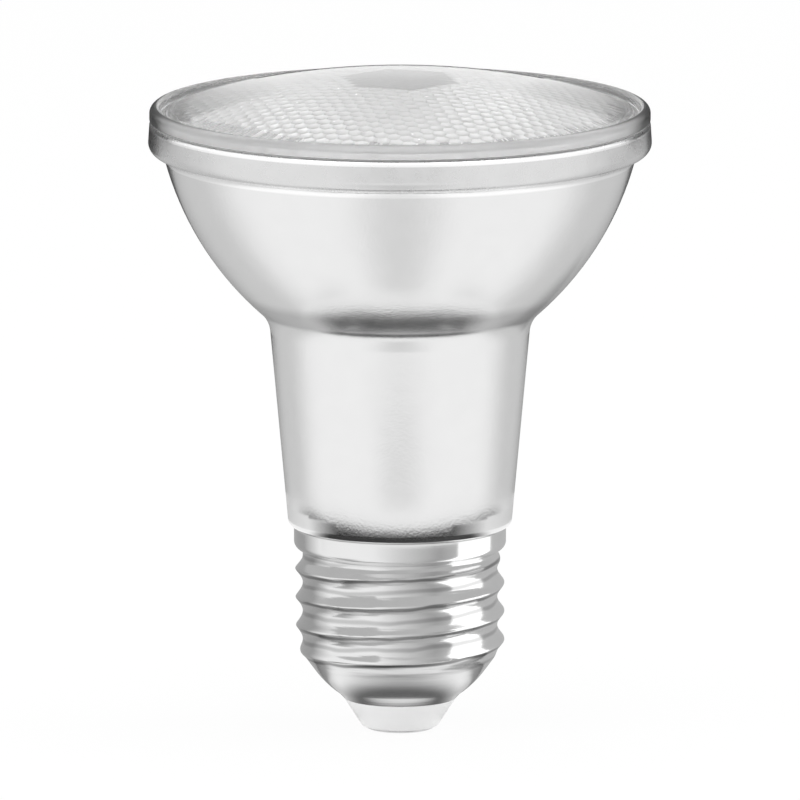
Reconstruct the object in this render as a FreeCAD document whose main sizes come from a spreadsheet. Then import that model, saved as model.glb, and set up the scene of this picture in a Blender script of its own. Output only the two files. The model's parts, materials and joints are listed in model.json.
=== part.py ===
import FreeCAD, Part
import math
import os
import Sketcher
from FreeCAD import Placement, Rotation, Vector

# Reflector spotlight bulb with a pressed glass body, a honeycomb front lens and an E27 screw cap.
# Millimetres, +Z up along the bulb's axis, origin in the middle of the contact's under face.
# The bulb stands cap down, and the photograph looks along +Y from slightly above.

# Driving sizes: name, value, what it is. Each can be set by itself.
SIZES = [
    # Front lens
    ("dome_apex_height", 83.7, "top of the lens dome above the contact"),
    ("dome_radius", 100.0, "sphere radius of the lens's outer face"),
    ("dome_edge_inset", 2.7, "from the lens flange's wall to where the dome starts to round over"),
    ("lens_bead_width", 0.7, "rounded bead round the dome"),
    ("lens_bead_drop", 0.75, "height of the bead's rounded side"),
    ("lens_bead_round", 0.75, "rounding of the bead"),
    ("moat_step", 0.033, "upright wall between the bead and the groove's floor"),
    ("lip_width", 1.3, "raised lip round the lens"),
    ("lip_rise", 1.15, "top of the lip above the groove's floor"),
    ("lip_crest_inset", 0.85, "from the flange's wall to the middle of the lip's rounded top"),
    ("lip_inner_round", 0.5, "rounding of the lip's inner edge"),
    ("lip_outer_round", 0.95, "rounding of the lip's outer edge"),
    ("flange_inset", 0.02, "the lens flange is this much smaller than the collar's top"),
    ("lens_wall", 2.5, "glass thickness of the lens in the middle"),
    ("spigot_inset", 2.9, "from the flange's wall to the locating ring under the lens"),
    ("spigot_length", 1.1, "how far the locating ring reaches down"),
    ("spigot_lead", 0.35, "chamfer on the locating ring"),
    ("lenslet_pitch", 1.66, "distance between neighbouring lenslets"),
    ("lenslet_relief", 0.32, "how far a lenslet stands out of the inner face"),
    ("lenslet_inset", 4.3, "from the flange's wall to the honeycomb"),
    ("lenslet_turn", 42.0, "degrees that the honeycomb's rows are turned about the axis"),
    ("plain_rings", 4.0, "rings of cells left plain round the middle"),
    ("lens_margin", 0.65, "plain glass between honeycomb and locating ring"),
    # Bond between lens and bowl
    ("flange_floor", 0.65, "glass under the groove"),
    ("bond_thickness", 0.2, "adhesive between lens and bowl"),
    ("bond_width", 2.4, "from the flange's wall to the inner edge of the adhesive ring"),
    ("bond_setback", 0.25, "how far the adhesive lies back from the lens flange's wall"),
    # Glass bowl and neck
    ("rim_radius", 31.75, "bowl collar at its foot"),
    ("rim_draft", 0.13, "collar is this much smaller at its top"),
    ("rim_height", 2.8, "from the seam down to where the collar starts to round under"),
    ("rim_top_round", 0.5, "rounding of the collar's upper edge"),
    ("rim_foot_round", 1.65, "rounding under the collar"),
    ("rim_under_inset", 1.5, "how far the rounding under the collar reaches in"),
    ("rim_foot_drop", 1.6, "how far that rounding reaches down"),
    ("rim_root_round", 0.9, "hollow between collar and bowl"),
    ("bowl_top_inset", 2.12, "from the collar to the bowl just under it"),
    ("rim_root_drop", 0.75, "height of the hollow between collar and bowl"),
    ("bowl_arc_radius", 39.93, "radius of the bowl's outline"),
    ("neck_hollow_reach", 1.5, "how far the hollow between bowl and neck reaches out"),
    ("neck_hollow_rise", 3.02, "height of that hollow"),
    ("neck_hollow_round", 4.0, "hollow between bowl and neck"),
    ("neck_top_radius", 16.35, "neck outside at its top"),
    ("neck_top_height", 50.7, "height of the neck's top"),
    ("neck_foot_radius", 14.17, "neck outside at its foot"),
    ("neck_foot_rise", 1.05, "height of the rounding at the neck's foot"),
    ("neck_foot_round", 1.1, "rounding of the neck's foot"),
    ("neck_foot_inset", 0.9, "how far that rounding reaches in"),
    ("skirt_top_height", 26.0, "foot of the neck and top edge of the cap"),
    ("bowl_wall", 2.3, "glass thickness of the bowl"),
    ("neck_wall", 1.8, "glass thickness of the neck"),
    ("mouth_inset", 2.8, "from the collar to the bowl's mouth round the locating ring"),
    ("mouth_depth", 1.9, "depth of that mouth"),
    ("tail_radius", 11.2, "glass tail that the cap is cemented to, outside"),
    ("tail_wall", 1.4, "glass thickness of the tail"),
    ("tail_length", 9.5, "how far the glass tail reaches down into the cap"),
    ("neck_floor", 2.4, "glass above the foot of the neck, where the tail starts"),
    # Screw cap
    ("skirt_radius", 13.4, "plain skirt of the cap, outside"),
    ("cap_wall", 0.3, "sheet thickness of the cap"),
    ("skirt_length", 1.9, "plain skirt, down to where it rounds in to the thread"),
    ("skirt_foot_round", 1.05, "rounding of the skirt's foot"),
    ("skirt_neck_radius", 12.75, "inner end of that rounding"),
    ("skirt_to_thread", 1.2, "from the skirt's foot down to the threaded barrel"),
    ("thread_root_radius", 12.3, "bottom of the rolled thread, outside"),
    ("thread_depth", 0.9, "height of the thread's crests over its root"),
    ("thread_pitch", 3.629, "seven turns to the inch"),
    ("thread_phase", 18.745, "height of a crest on the +X side"),
    ("thread_crest_power", 1.8, "1 is a plain wave, more makes narrower crests"),
    ("thread_fade_top", 1.7, "length over which the crests rise below the skirt"),
    ("thread_fade_foot", 2.0, "length over which the crests die out above the cone"),
    ("shoulder_height", 10.4, "where the barrel starts to turn in to the cone"),
    ("barrel_foot_height", 9.0, "lower end of the threaded barrel"),
    ("cone_lean", 0.743, "how fast the cone narrows, radius over height"),
    ("cone_knee_radius", 10.6, "where the cone starts to curve"),
    ("cone_knee_height", 7.4, "height of that circle"),
    ("cone_curve", 13.0, "radius of the curve under the cone"),
    ("cone_mouth_radius", 7.7, "lower end of the curve"),
    ("cone_mouth_height", 4.65, "height of that end"),
    ("cap_mouth_radius", 7.1, "outer edge of the cap's lower opening"),
    ("cap_mouth_height", 4.0, "height of the cap's lower edge"),
    ("cone_wall_run", 0.42, "sheet thickness of the cone, measured level"),
    # Insulator and contact
    ("contact_thickness", 0.35, "thickness of the contact disc"),
    ("contact_flat_radius", 3.9, "flat under face of the contact"),
    ("contact_radius", 4.3, "edge of the contact disc"),
    ("contact_edge", 0.15, "thickness left at the disc's edge"),
    ("contact_stem_radius", 1.1, "hollow stem of the contact"),
    ("contact_stem_height", 6.2, "top of the stem"),
    ("contact_bore_radius", 0.42, "bore of the stem"),
    ("contact_bore_floor", 0.9, "floor of that bore"),
    ("insulator_foot_radius", 4.5, "under face of the insulator"),
    ("insulator_round", 0.5, "rounding of its lower edge"),
    ("insulator_side_radius", 4.95, "insulator just above the rounding"),
    ("insulator_side_height", 0.65, "height of that circle"),
    ("insulator_ledge", 0.05, "step that the cap's edge stands over"),
    ("insulator_top_radius", 9.3, "top face of the insulator inside the cap"),
    ("insulator_top_height", 7.0, "height of that face"),
    ("insulator_cup_radius", 6.4, "hollow in the insulator's top"),
    ("insulator_cup_depth", 1.8, "depth of that hollow"),
    # Aluminium heat spreader
    ("spreader_rise", 1.7, "top face of the heat spreader above the neck's top"),
    ("spreader_plate", 1.2, "thickness of its plate"),
    ("spreader_depth", 10.4, "height of the heat spreader"),
    ("spreader_wall", 1.0, "thickness of its skirt"),
    ("spreader_gap", 0.2, "bonding gap between skirt and glass"),
    # LED board
    ("pad_thickness", 0.2, "thermal pad"),
    ("board_radius", 12.5, "LED board"),
    ("board_thickness", 1.6, "LED board"),
    ("led_side", 3.0, "LED package, square"),
    ("led_height", 0.65, "LED package"),
    ("led_lens_radius", 1.2, "round emitting window of the package"),
    ("led_window_depth", 0.15, "how deep that window lies"),
    ("led_ring_radius", 5.2, "the outer LEDs stand on this circle"),
    ("screw_circle_radius", 9.5, "the two board screws stand on this circle"),
    ("screw_shank_radius", 1.0, "screw thread, outside"),
    ("screw_hole_slack", 0.06, "clearance round a screw's shank"),
    ("screw_head_radius", 1.9, "pan head"),
    ("screw_head_height", 1.3, "pan head"),
    ("screw_recess_width", 0.5, "cross recess, width of a slot"),
    ("screw_recess_length", 2.0, "cross recess, length of a slot"),
    ("screw_recess_depth", 0.7, "cross recess"),
    ("screw_reach", 1.5, "how far a screw stands out below the spreader plate"),
    ("wire_hole_radius", 2.0, "hole for the LED leads"),
    ("wire_hole_offset", 8.9, "distance of that hole from the axis"),
    # Driver housing
    ("housing_gap", 0.25, "clearance between housing and glass"),
    ("housing_wall", 0.8, "wall of the housing"),
    ("housing_shoulder_rise", 4.0, "foot of the housing's wide part above the cap"),
    ("housing_shoulder_drop", 1.6, "height of the slope below the wide part"),
    ("housing_tail_gap", 1.5, "how far the housing stands out below the glass tail"),
    ("housing_top_gap", 0.3, "clearance below the spreader's plate"),
    ("housing_rail_length", 6.0, "rails that hold the driver board"),
    ("rail_rise", 0.4, "lower end of the rails above that foot"),
    ("housing_rail_width", 3.0, "rails, across the board's plane"),
    ("housing_rail_reach", 1.9, "how far the rails reach in from the board's edge"),
    ("rail_slot_slack", 0.1, "clearance between board and rail"),
    ("floor_hole_radius", 0.8, "holes in the housing's floor for the mains wires"),
    # Driver board
    ("driver_plane", -2.2, "back face of the driver board, along Y"),
    ("driver_thickness", 1.2, "driver board"),
    ("driver_half_width", 10.6, "wide part of the driver board"),
    ("driver_tail_half_width", 8.0, "narrow part of the driver board"),
    ("driver_foot_gap", 0.2, "clearance above the housing's floor"),
    ("driver_top_gap", 4.9, "from the spreader's top down to the driver board"),
    # Transformer
    ("transformer_drop", 7.0, "from the board's top edge to the middle of the transformer"),
    ("bobbin_side", 9.0, "bobbin flange, square"),
    ("bobbin_flange", 0.7, "bobbin flange thickness"),
    ("bobbin_span", 5.4, "space for the winding between the flanges"),
    ("bobbin_tube_radius", 2.6, "bobbin tube, outside"),
    ("winding_radius", 4.2, "outside of the winding"),
    ("core_leg_side", 3.0, "middle leg of the ferrite core, square"),
    ("core_leg_slack", 0.1, "clearance between leg and bobbin"),
    ("core_width", 13.0, "ferrite core across"),
    ("core_limb", 1.5, "outer legs and yokes"),
    # Capacitors
    ("input_can_radius", 4.0, "mains electrolytic can"),
    ("input_can_length", 12.0, "mains electrolytic can"),
    ("input_can_across", -3.2, "can's middle along X"),
    ("input_can_gap", 1.4, "room between the mains can and the output can"),
    ("can_groove_depth", 0.35, "rolled groove near a can's seal"),
    ("can_groove_place", 1.8, "distance of that groove from the seal end"),
    ("board_seat", 0.05, "parts lie this far off the board"),
    ("output_can_radius", 2.5, "output electrolytic can"),
    ("output_can_length", 9.0, "output electrolytic can"),
    ("output_can_left", -8.5, "left end of the can along X"),
    ("output_can_gap", 0.1, "room between the output can and the transformer"),
    ("film_width", 2.8, "film capacitor along X"),
    ("film_depth", 3.5, "film capacitor along Y"),
    ("film_length", 7.0, "film capacitor along Z"),
    ("film_left", 7.1, "film capacitor's near side along X"),
    ("film_gap", 0.4, "room between the film capacitor and the rail under it"),
    ("film_edge", 0.3, "rounding of its edges"),
    # Choke, varistor, resistor
    ("choke_radius", 2.5, "drum core flanges"),
    ("choke_length", 6.0, "drum core"),
    ("choke_flange", 0.8, "drum core flanges"),
    ("choke_hub_radius", 1.2, "drum core hub"),
    ("choke_winding_radius", 2.2, "winding on the drum"),
    ("choke_across", 4.6, "choke's middle along X"),
    ("choke_gap", 0.3, "room between choke and transformer"),
    ("varistor_radius", 2.5, "surge varistor disc"),
    ("varistor_thickness", 2.2, "surge varistor disc"),
    ("varistor_across", 4.8, "varistor's middle along X"),
    ("varistor_gap", 0.3, "room between varistor and choke"),
    ("varistor_round", 0.6, "rounded edge of the disc"),
    ("resistor_radius", 1.25, "fusible resistor"),
    ("resistor_length", 6.0, "fusible resistor"),
    ("resistor_waist_radius", 1.0, "fusible resistor between its end caps"),
    ("resistor_cap_length", 1.4, "end caps of the resistor"),
    ("resistor_lead_radius", 0.3, "bare leads of the resistor"),
    ("resistor_across", 4.6, "resistor's middle along X"),
    ("resistor_gap", 0.2, "room between the resistor's lead and the varistor"),
    ("resistor_lead_up", 0.8, "level of its upper lead over the body, where it runs to the board"),
    ("resistor_lead_root", 0.3, "how deep that lead stands in the body"),
    ("resistor_lead_down", 0.6, "length of its lower lead"),
    # Parts on the back of the driver board
    ("bridge_width", 4.8, "bridge rectifier along X"),
    ("bridge_length", 4.0, "bridge rectifier along Z"),
    ("bridge_depth", 1.5, "bridge rectifier along Y"),
    ("bridge_foot", 22.0, "lower end of the bridge rectifier"),
    ("chip_width", 3.9, "driver chip along X"),
    ("chip_length", 4.9, "driver chip along Z"),
    ("chip_depth", 1.4, "driver chip along Y"),
    ("chip_drop", 6.0, "lower end of the driver chip below the transformer's middle"),
    ("leg_width", 0.4, "legs of the chips"),
    ("leg_thickness", 0.2, "legs of the chips"),
    ("leg_reach", 1.0, "how far a leg stands out of its chip"),
    ("leg_pitch", 1.27, "distance between the legs"),
    ("bridge_leg_pitch", 2.54, "distance between the bridge rectifier's legs"),
    ("diode_width", 2.6, "rectifier diode along X"),
    ("diode_length", 4.3, "rectifier diode along Z"),
    ("diode_depth", 2.1, "rectifier diode along Y"),
    ("diode_across", 6.4, "diode's middle along X"),
    ("diode_drop", 1.9, "lower end of the diode below the transformer's middle"),
    ("small_chip_width", 3.2, "chip resistor along X"),
    ("small_chip_length", 1.6, "chip resistor along Z"),
    ("small_chip_depth", 0.55, "chip resistor along Y"),
    ("small_chip_across", -6.2, "chip resistors' middle along X"),
    ("small_chip_drop", 7.5, "lower end of the first chip resistor below the transformer's middle"),
    ("small_chip_step", 2.9, "distance from one chip resistor to the next"),
    # Wires
    ("wire_bend_share", 0.45, "part of the shorter run that a wire's bend takes up"),
    ("mains_wire_radius", 0.35, "mains wires inside the cap"),
    ("lead_wire_radius", 0.45, "insulated LED leads"),
    ("lead_half_gap", 0.9, "half the distance between the two LED leads"),
    ("lead_start_offset", 6.5, "the LED leads are soldered this far from the axis"),
    ("lead_turn_drop", 2.8, "where the LED leads turn to the driver board, below the spreader's top"),
    ("lead_board_drop", 6.2, "where they reach the driver board"),
    ("lead_end_drop", 9.0, "lower end of the LED leads"),
    ("wire_seat", 0.08, "clearance between a wire and what it lies on"),
    ("live_turn_low", 8.6, "where the live wire leaves the axis"),
    ("live_turn_gap", 2.2, "from the housing's floor down to where it is below the resistor"),
    ("neutral_across", -5.4, "neutral wire at the board, along X"),
    ("neutral_rise", 5.0, "how far the neutral wire reaches up on the board"),
    ("neutral_drop", 2.6, "lowest level of the neutral wire below the housing's floor"),
    ("neutral_end_drop", 2.7, "end of the neutral wire between tail and cap, below its top edge"),
    # Cement
    ("cement_gap", 0.05, "room between cement and its walls"),
    ("cement_depth", 2.05, "height of the cement ring below the cap's top edge"),
]

LED_COUNT = 6
SCREW_COUNT = 2
SMALL_CHIP_COUNT = 4
CHIP_LEG_ROWS = 4
BRIDGE_LEG_ROWS = 2
CELL_SIDES = 6
# Least turn between two margin corners, as a part of the mean one
MARGIN_LEAST_TURN = 0.25
# Steps that a curved face is worked out in
TURN_STEPS = 48
BARREL_ROWS = 64
SEW_TOLERANCE = 0.001


class Size:
    """A length that knows its value and the expression that gives it."""

    def __init__(self, value, text):
        self.value = value
        self.text = text

    def _with(self, other, sign, value, swap=False):
        text = other.text if isinstance(other, Size) else "%.9g" % other
        pair = (text, self.text) if swap else (self.text, text)
        return Size(value, "(%s %s %s)" % (pair[0], sign, pair[1]))

    def __add__(self, other):
        return self._with(other, "+", self.value + number(other))

    def __radd__(self, other):
        return self._with(other, "+", number(other) + self.value, swap=True)

    def __sub__(self, other):
        return self._with(other, "-", self.value - number(other))

    def __rsub__(self, other):
        return self._with(other, "-", number(other) - self.value, swap=True)

    def __mul__(self, other):
        return self._with(other, "*", self.value * number(other))

    __rmul__ = __mul__

    def __truediv__(self, other):
        return self._with(other, "/", self.value / number(other))

    def __neg__(self):
        return 0 - self

    def root(self):
        return Size(math.sqrt(self.value), "sqrt(%s)" % self.text)


def number(value):
    return value.value if isinstance(value, Size) else float(value)


def bind(thing, name, value):
    """Set a property, tied to the sheet where the value comes from it."""
    if isinstance(value, Size):
        thing.setExpression(name, value.text)
    elif value:
        thing.setExpression(name, "%.9g" % value)


doc = FreeCAD.newDocument("spot_bulb")
sheet = doc.addObject("Spreadsheet::Sheet", "sizes")
for row, (alias, value, meaning) in enumerate(SIZES, 1):
    sheet.set("A%d" % row, meaning)
    sheet.set("B%d" % row, "%.9g" % value)
    sheet.setAlias("B%d" % row, alias)
doc.recompute()


class Sheet:
    """The driving sizes by name."""

    def __getattr__(self, alias):
        return Size(float(sheet.get(alias)), "sizes.%s" % alias)


S = Sheet()
pieces = []


def sphere_height(apex, radius, across):
    """Height of a sphere's upper side at a distance from the axis."""
    return apex - radius + (radius * radius - across * across).root()


# Places that follow from the driving sizes

# Radii of the rim, from the collar inwards
rim_top_radius = S.rim_radius - S.rim_draft
flange_radius = rim_top_radius - S.flange_inset
lip_crest_radius = flange_radius - S.lip_crest_inset
lip_inner_radius = flange_radius - S.lip_width
dome_edge_radius = flange_radius - S.dome_edge_inset
bead_radius = dome_edge_radius + S.lens_bead_width
spigot_radius = flange_radius - S.spigot_inset
field_radius = flange_radius - S.lenslet_inset
mouth_radius = S.rim_radius - S.mouth_inset
rim_under_radius = S.rim_radius - S.rim_under_inset
bowl_top_radius = S.rim_radius - S.bowl_top_inset

# Heights of the rim, from the lens dome down
dome_edge_height = sphere_height(S.dome_apex_height, S.dome_radius, dome_edge_radius)
moat_floor_height = dome_edge_height - S.lens_bead_drop - S.moat_step
lip_height = moat_floor_height + S.lip_rise
seam_height = moat_floor_height - S.flange_floor
spigot_height = seam_height - S.spigot_length
rim_foot_height = seam_height - S.rim_height
rim_under_height = rim_foot_height - S.rim_foot_drop
bowl_top_height = rim_under_height - S.rim_root_drop

# Neck, and what stands in it
bowl_foot_radius = S.neck_top_radius + S.neck_hollow_reach
bowl_foot_height = S.neck_top_height + S.neck_hollow_rise
neck_foot_height = S.skirt_top_height + S.neck_foot_rise
spreader_top_height = S.neck_top_height + S.spreader_rise
spreader_skirt_foot = spreader_top_height - S.spreader_depth
housing_shoulder_height = S.skirt_top_height + S.housing_shoulder_rise
rail_height = housing_shoulder_height + S.rail_rise

# Cap and what reaches into it
skirt_foot_height = S.skirt_top_height - S.skirt_length
thread_top_height = skirt_foot_height - S.skirt_to_thread
tail_foot_height = S.skirt_top_height - S.tail_length
housing_floor_height = tail_foot_height - S.housing_tail_gap

# Parts of the driver, from the board's top edge down
driver_top_height = spreader_top_height - S.driver_top_gap
transformer_height = driver_top_height - S.transformer_drop
core_reach = S.bobbin_span / 2 + S.bobbin_flange + S.core_leg_slack
core_foot_height = transformer_height - core_reach - S.core_limb
output_can_height = core_foot_height - S.output_can_gap - S.output_can_radius
input_can_foot = output_can_height - S.output_can_radius - S.input_can_gap - S.input_can_length
choke_height = core_foot_height - S.choke_gap - S.choke_radius
varistor_height = choke_height - S.choke_radius - S.varistor_gap - S.varistor_radius
resistor_lead_level = varistor_height - S.varistor_radius - S.resistor_gap - S.resistor_lead_radius
resistor_top = resistor_lead_level - S.resistor_lead_up
resistor_foot = resistor_top - S.resistor_length


def piece(thing, label):
    """Name a finished sub-part and put it on the list that is written out."""
    thing.Label = label
    pieces.append(thing)
    return thing


# Outlines: a corner is (across, up) or (across, up, radius). The radius bends the side that
# leaves that corner: positive turns left along the way of travel, negative turns right.


def arc_centre(start, end, radius):
    """Centre of the short arc between two points."""
    chord = end - start
    left = Vector(-chord.y, chord.x, 0).normalize()
    rise = math.sqrt(max(radius * radius - chord.Length ** 2 / 4, 0.0))
    return (start + end) * 0.5 + left * math.copysign(rise, radius)


def arc_side(start, end, radius):
    """Sketch geometry of the arc, and which of its ends comes first on the way."""
    centre = arc_centre(start, end, radius)
    first, last = (start, end) if radius > 0 else (end, start)
    turns = [math.atan2(p.y - centre.y, p.x - centre.x) for p in (first, last)]
    circle = Part.Circle(centre, Vector(0, 0, 1), abs(radius))
    return Part.ArcOfCircle(circle, turns[0], turns[1]), (1, 2) if radius > 0 else (2, 1)


def new_sketch(body, name, role, offset=0.0):
    """Sketch on one of the body's own origin planes, moved off it by an offset."""
    sketch = body.newObject("Sketcher::SketchObject", name)
    planes = [plane for plane in body.Origin.OriginFeatures if plane.Role == role]
    sketch.AttachmentSupport = (planes[0], [""])
    sketch.MapMode = "FlatFace"
    bind(sketch, "AttachmentOffset.Base.z", offset)
    return sketch


def pin_point(sketch, side, end, across, up):
    """Fix a point of a sketch at sizes from the sheet."""
    for kind, value in (("DistanceX", across), ("DistanceY", up)):
        index = sketch.addConstraint(Sketcher.Constraint(kind, -1, 1, side, end, number(value)))
        if isinstance(value, Size):
            sketch.setExpression("Constraints[%d]" % index, value.text)


def draw_outline(sketch, corners):
    """Closed outline of straight sides and arcs through fixed corners."""
    points = [Vector(number(corner[0]), number(corner[1]), 0) for corner in corners]
    start_index = sketch.GeometryCount
    ends = []
    for index, corner in enumerate(corners):
        start = points[index]
        end = points[(index + 1) % len(points)]
        if len(corner) == 3:
            side, order = arc_side(start, end, number(corner[2]))
        else:
            side, order = Part.LineSegment(start, end), (1, 2)
        sketch.addGeometry(side, False)
        ends.append(order)
    joins = []
    for index in range(len(corners)):
        after = (index + 1) % len(corners)
        joins.append(Sketcher.Constraint("Coincident", start_index + index, ends[index][1],
                                         start_index + after, ends[after][0]))
    sketch.addConstraint(joins)
    for index, corner in enumerate(corners):
        pin_point(sketch, start_index + index, ends[index][0], corner[0], corner[1])
        if len(corner) == 3:
            radius = corner[2] if number(corner[2]) > 0 else -corner[2]
            place = sketch.addConstraint(
                Sketcher.Constraint("Radius", start_index + index, number(radius)))
            sketch.setExpression("Constraints[%d]" % place, radius.text)


def draw_circle(sketch, across, up, radius):
    centre = Vector(number(across), number(up), 0)
    index = sketch.addGeometry(Part.Circle(centre, Vector(0, 0, 1), number(radius)), False)
    pin_point(sketch, index, 3, across, up)
    place = sketch.addConstraint(Sketcher.Constraint("Radius", index, number(radius)))
    sketch.setExpression("Constraints[%d]" % place, radius.text)


def new_body(name):
    return doc.addObject("PartDesign::Body", name)


def turned(name, corners):
    """Body made by turning an outline (radius, height) about the axis."""
    body = new_body(name)
    sketch = new_sketch(body, name + "_outline", "XZ_Plane")
    draw_outline(sketch, corners)
    turn = body.newObject("PartDesign::Revolution", name + "_turn")
    turn.Profile = sketch
    turn.ReferenceAxis = (sketch, ["V_Axis"])
    turn.Angle = 360
    return body


def plate(name, role, offset, thickness, draw):
    """Body made by drawing on a plane and thickening along its normal."""
    body = new_body(name)
    sketch = new_sketch(body, name + "_outline", role, offset)
    draw(sketch)
    pad = body.newObject("PartDesign::Pad", name + "_pad")
    pad.Profile = sketch
    bind(pad, "Length", thickness)
    return body


def place(thing, across, along, up, turn=None):
    """Stand a primitive at a place given by the sheet."""
    if turn:
        thing.Placement = Placement(Vector(0, 0, 0), Rotation(*turn))
    bind(thing, "Placement.Base.x", across)
    bind(thing, "Placement.Base.y", along)
    bind(thing, "Placement.Base.z", up)
    return thing


def block(name, corner, lengths):
    thing = doc.addObject("Part::Box", name)
    for side, value in zip(("Length", "Width", "Height"), lengths):
        bind(thing, side, value)
    return place(thing, *corner)


def rod(name, radius, length, foot, turn=None):
    thing = doc.addObject("Part::Cylinder", name)
    bind(thing, "Radius", radius)
    bind(thing, "Height", length)
    return place(thing, foot[0], foot[1], foot[2], turn)


def joined(name, things):
    fuse = doc.addObject("Part::MultiFuse", name)
    fuse.Shapes = things
    return fuse


def cut(name, base, tool):
    result = doc.addObject("Part::Cut", name)
    result.Base = base
    result.Tool = tool
    return result


def common(name, things):
    result = doc.addObject("Part::MultiCommon", name)
    result.Shapes = things
    return result


ALONG_X = (Vector(0, 1, 0), 90)
ALONG_Y = (Vector(1, 0, 0), -90)


# Shared curves of the glass


def neck_inside(height):
    """Inner radius of the neck, which narrows evenly towards the cap."""
    lean = (S.neck_top_radius - S.neck_foot_radius) / (S.neck_top_height - neck_foot_height)
    return S.neck_foot_radius - S.neck_wall + (height - neck_foot_height) * lean


# Front lens: dome, bead, lip and locating ring turned in one, honeycomb on the inner face


def wire_of(corners):
    """Open wire of sides and arcs in the plane of the axis."""
    points = [Vector(number(corner[0]), number(corner[1]), 0) for corner in corners]
    edges = []
    for index, corner in enumerate(corners[:-1]):
        start = points[index]
        end = points[index + 1]
        if len(corner) == 3:
            edge = arc_side(start, end, number(corner[2]))[0].toShape()
        else:
            edge = Part.LineSegment(start, end).toShape()
        edges.append(edge)
    wire = Part.Wire(edges)
    wire.rotate(Vector(0, 0, 0), Vector(1, 0, 0), 90)
    return wire


def turned_faces(corners):
    return wire_of(corners).revolve(Vector(0, 0, 0), Vector(0, 0, 1), 360).Faces


def honeycomb_cells():
    """Row numbers and centres of the hexagon cells that fit whole in the field."""
    pitch = number(S.lenslet_pitch)
    turn = math.radians(number(S.lenslet_turn))
    reach = number(field_radius) - pitch / math.sqrt(3)
    rows = int(reach / (pitch * math.sqrt(3) / 2)) + 1
    cells = {}
    for up in range(-rows, rows + 1):
        for along in range(-2 * rows, 2 * rows + 1):
            flat = Vector(pitch * (along + up / 2), pitch * math.sqrt(3) / 2 * up, 0)
            if flat.Length <= reach:
                centre = Rotation(Vector(0, 0, 1), math.degrees(turn)).multVec(flat)
                cells[(along, up)] = centre
    return cells


def honeycomb_mat():
    """Triangles of the honeycomb and the closed line of corners round its border."""
    pitch = number(S.lenslet_pitch)
    inner_apex = number(S.dome_apex_height - S.lens_wall)
    inner_radius = number(S.dome_radius - S.lens_wall)

    def on_inner_face(point, drop=0.0):
        across = math.hypot(point.x, point.y)
        height = inner_apex - inner_radius + math.sqrt(inner_radius ** 2 - across ** 2)
        return Vector(point.x, point.y, height - drop)

    side_turn = 360 / CELL_SIDES
    corner_turns = [math.radians(number(S.lenslet_turn) + side_turn * (side + 0.5))
                    for side in range(CELL_SIDES)]
    corner_steps = [Vector(math.cos(turn), math.sin(turn), 0) * (pitch / math.sqrt(3))
                    for turn in corner_turns]
    neighbours = [(0, 1), (-1, 1), (-1, 0), (0, -1), (1, -1), (1, 0)]
    cells = honeycomb_cells()
    triangles = []
    border = {}
    for (along, up), centre in cells.items():
        ring = max(abs(along), abs(up), abs(along + up))
        relief = 0.0 if ring <= number(S.plain_rings) else number(S.lenslet_relief)
        top = on_inner_face(centre, relief)
        corners = [on_inner_face(centre + step) for step in corner_steps]
        for side in range(CELL_SIDES):
            start = corners[side]
            end = corners[(side + 1) % CELL_SIDES]
            triangles.append((top, start, end))
            step = neighbours[side]
            if (along + step[0], up + step[1]) not in cells:
                border[key_of(start)] = (start, end)
    loop = [next(iter(border.values()))[0]]
    while len(loop) < len(border):
        loop.append(border[key_of(loop[-1])][1])
    return triangles, loop


def key_of(point):
    """Rounded place of a corner, the same for all cells that share it."""
    return round(point.x, 3), round(point.y, 3)


def margin_angles(loop):
    """Turning angles for the outer ends of the margin, always increasing."""
    step = 2 * math.pi / len(loop) * MARGIN_LEAST_TURN
    angles = []
    for point in loop:
        angle = math.atan2(point.y, point.x)
        if angles:
            while angle < angles[-1] - math.pi:
                angle += 2 * math.pi
            angle = max(angle, angles[-1] + step)
        angles.append(angle)
    return angles


def margin_triangles(loop, outer):
    """Strip between the honeycomb's border and a ring of as many points."""
    triangles = []
    for index in range(len(loop)):
        after = (index + 1) % len(loop)
        ways = [((loop[index], outer[index], outer[after]), (loop[index], outer[after], loop[after])),
                ((loop[index], outer[index], loop[after]), (outer[index], outer[after], loop[after]))]
        triangles.extend(max(ways, key=lambda way: min(flat_area(side) for side in way)))
    return triangles


def flat_area(triangle):
    first, second, third = triangle
    return (second - first).cross(third - first).z


def facet(triangle):
    return Part.Face(Part.makePolygon(list(triangle) + [triangle[0]]))


def build_lens():
    margin_radius = field_radius + S.lens_margin
    top_faces = turned_faces([
        (0.0, S.dome_apex_height, -S.dome_radius),
        (dome_edge_radius, dome_edge_height, -S.lens_bead_round),
        (bead_radius, dome_edge_height - S.lens_bead_drop),
        (bead_radius, moat_floor_height),
        (lip_inner_radius, moat_floor_height),
        (lip_inner_radius, lip_height - S.lip_inner_round, -S.lip_inner_round),
        (lip_crest_radius, lip_height, -S.lip_outer_round),
        (flange_radius, lip_height - S.lip_outer_round),
        (flange_radius, seam_height),
        (spigot_radius, seam_height),
        (spigot_radius, spigot_height + S.spigot_lead),
        (spigot_radius - S.spigot_lead, spigot_height),
    ])
    triangles, loop = honeycomb_mat()
    height = number(spigot_height)
    reach = number(margin_radius)
    outer = [Vector(reach * math.cos(angle), reach * math.sin(angle), height)
             for angle in margin_angles(loop)]
    triangles = triangles + margin_triangles(loop, outer)
    rim = Part.Wire(Part.makeCircle(number(spigot_radius - S.spigot_lead), Vector(0, 0, height)))
    ring = Part.Face([rim, Part.makePolygon(outer + [outer[0]])])
    return closed_solid(top_faces + [ring] + [facet(triangle) for triangle in triangles])


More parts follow.
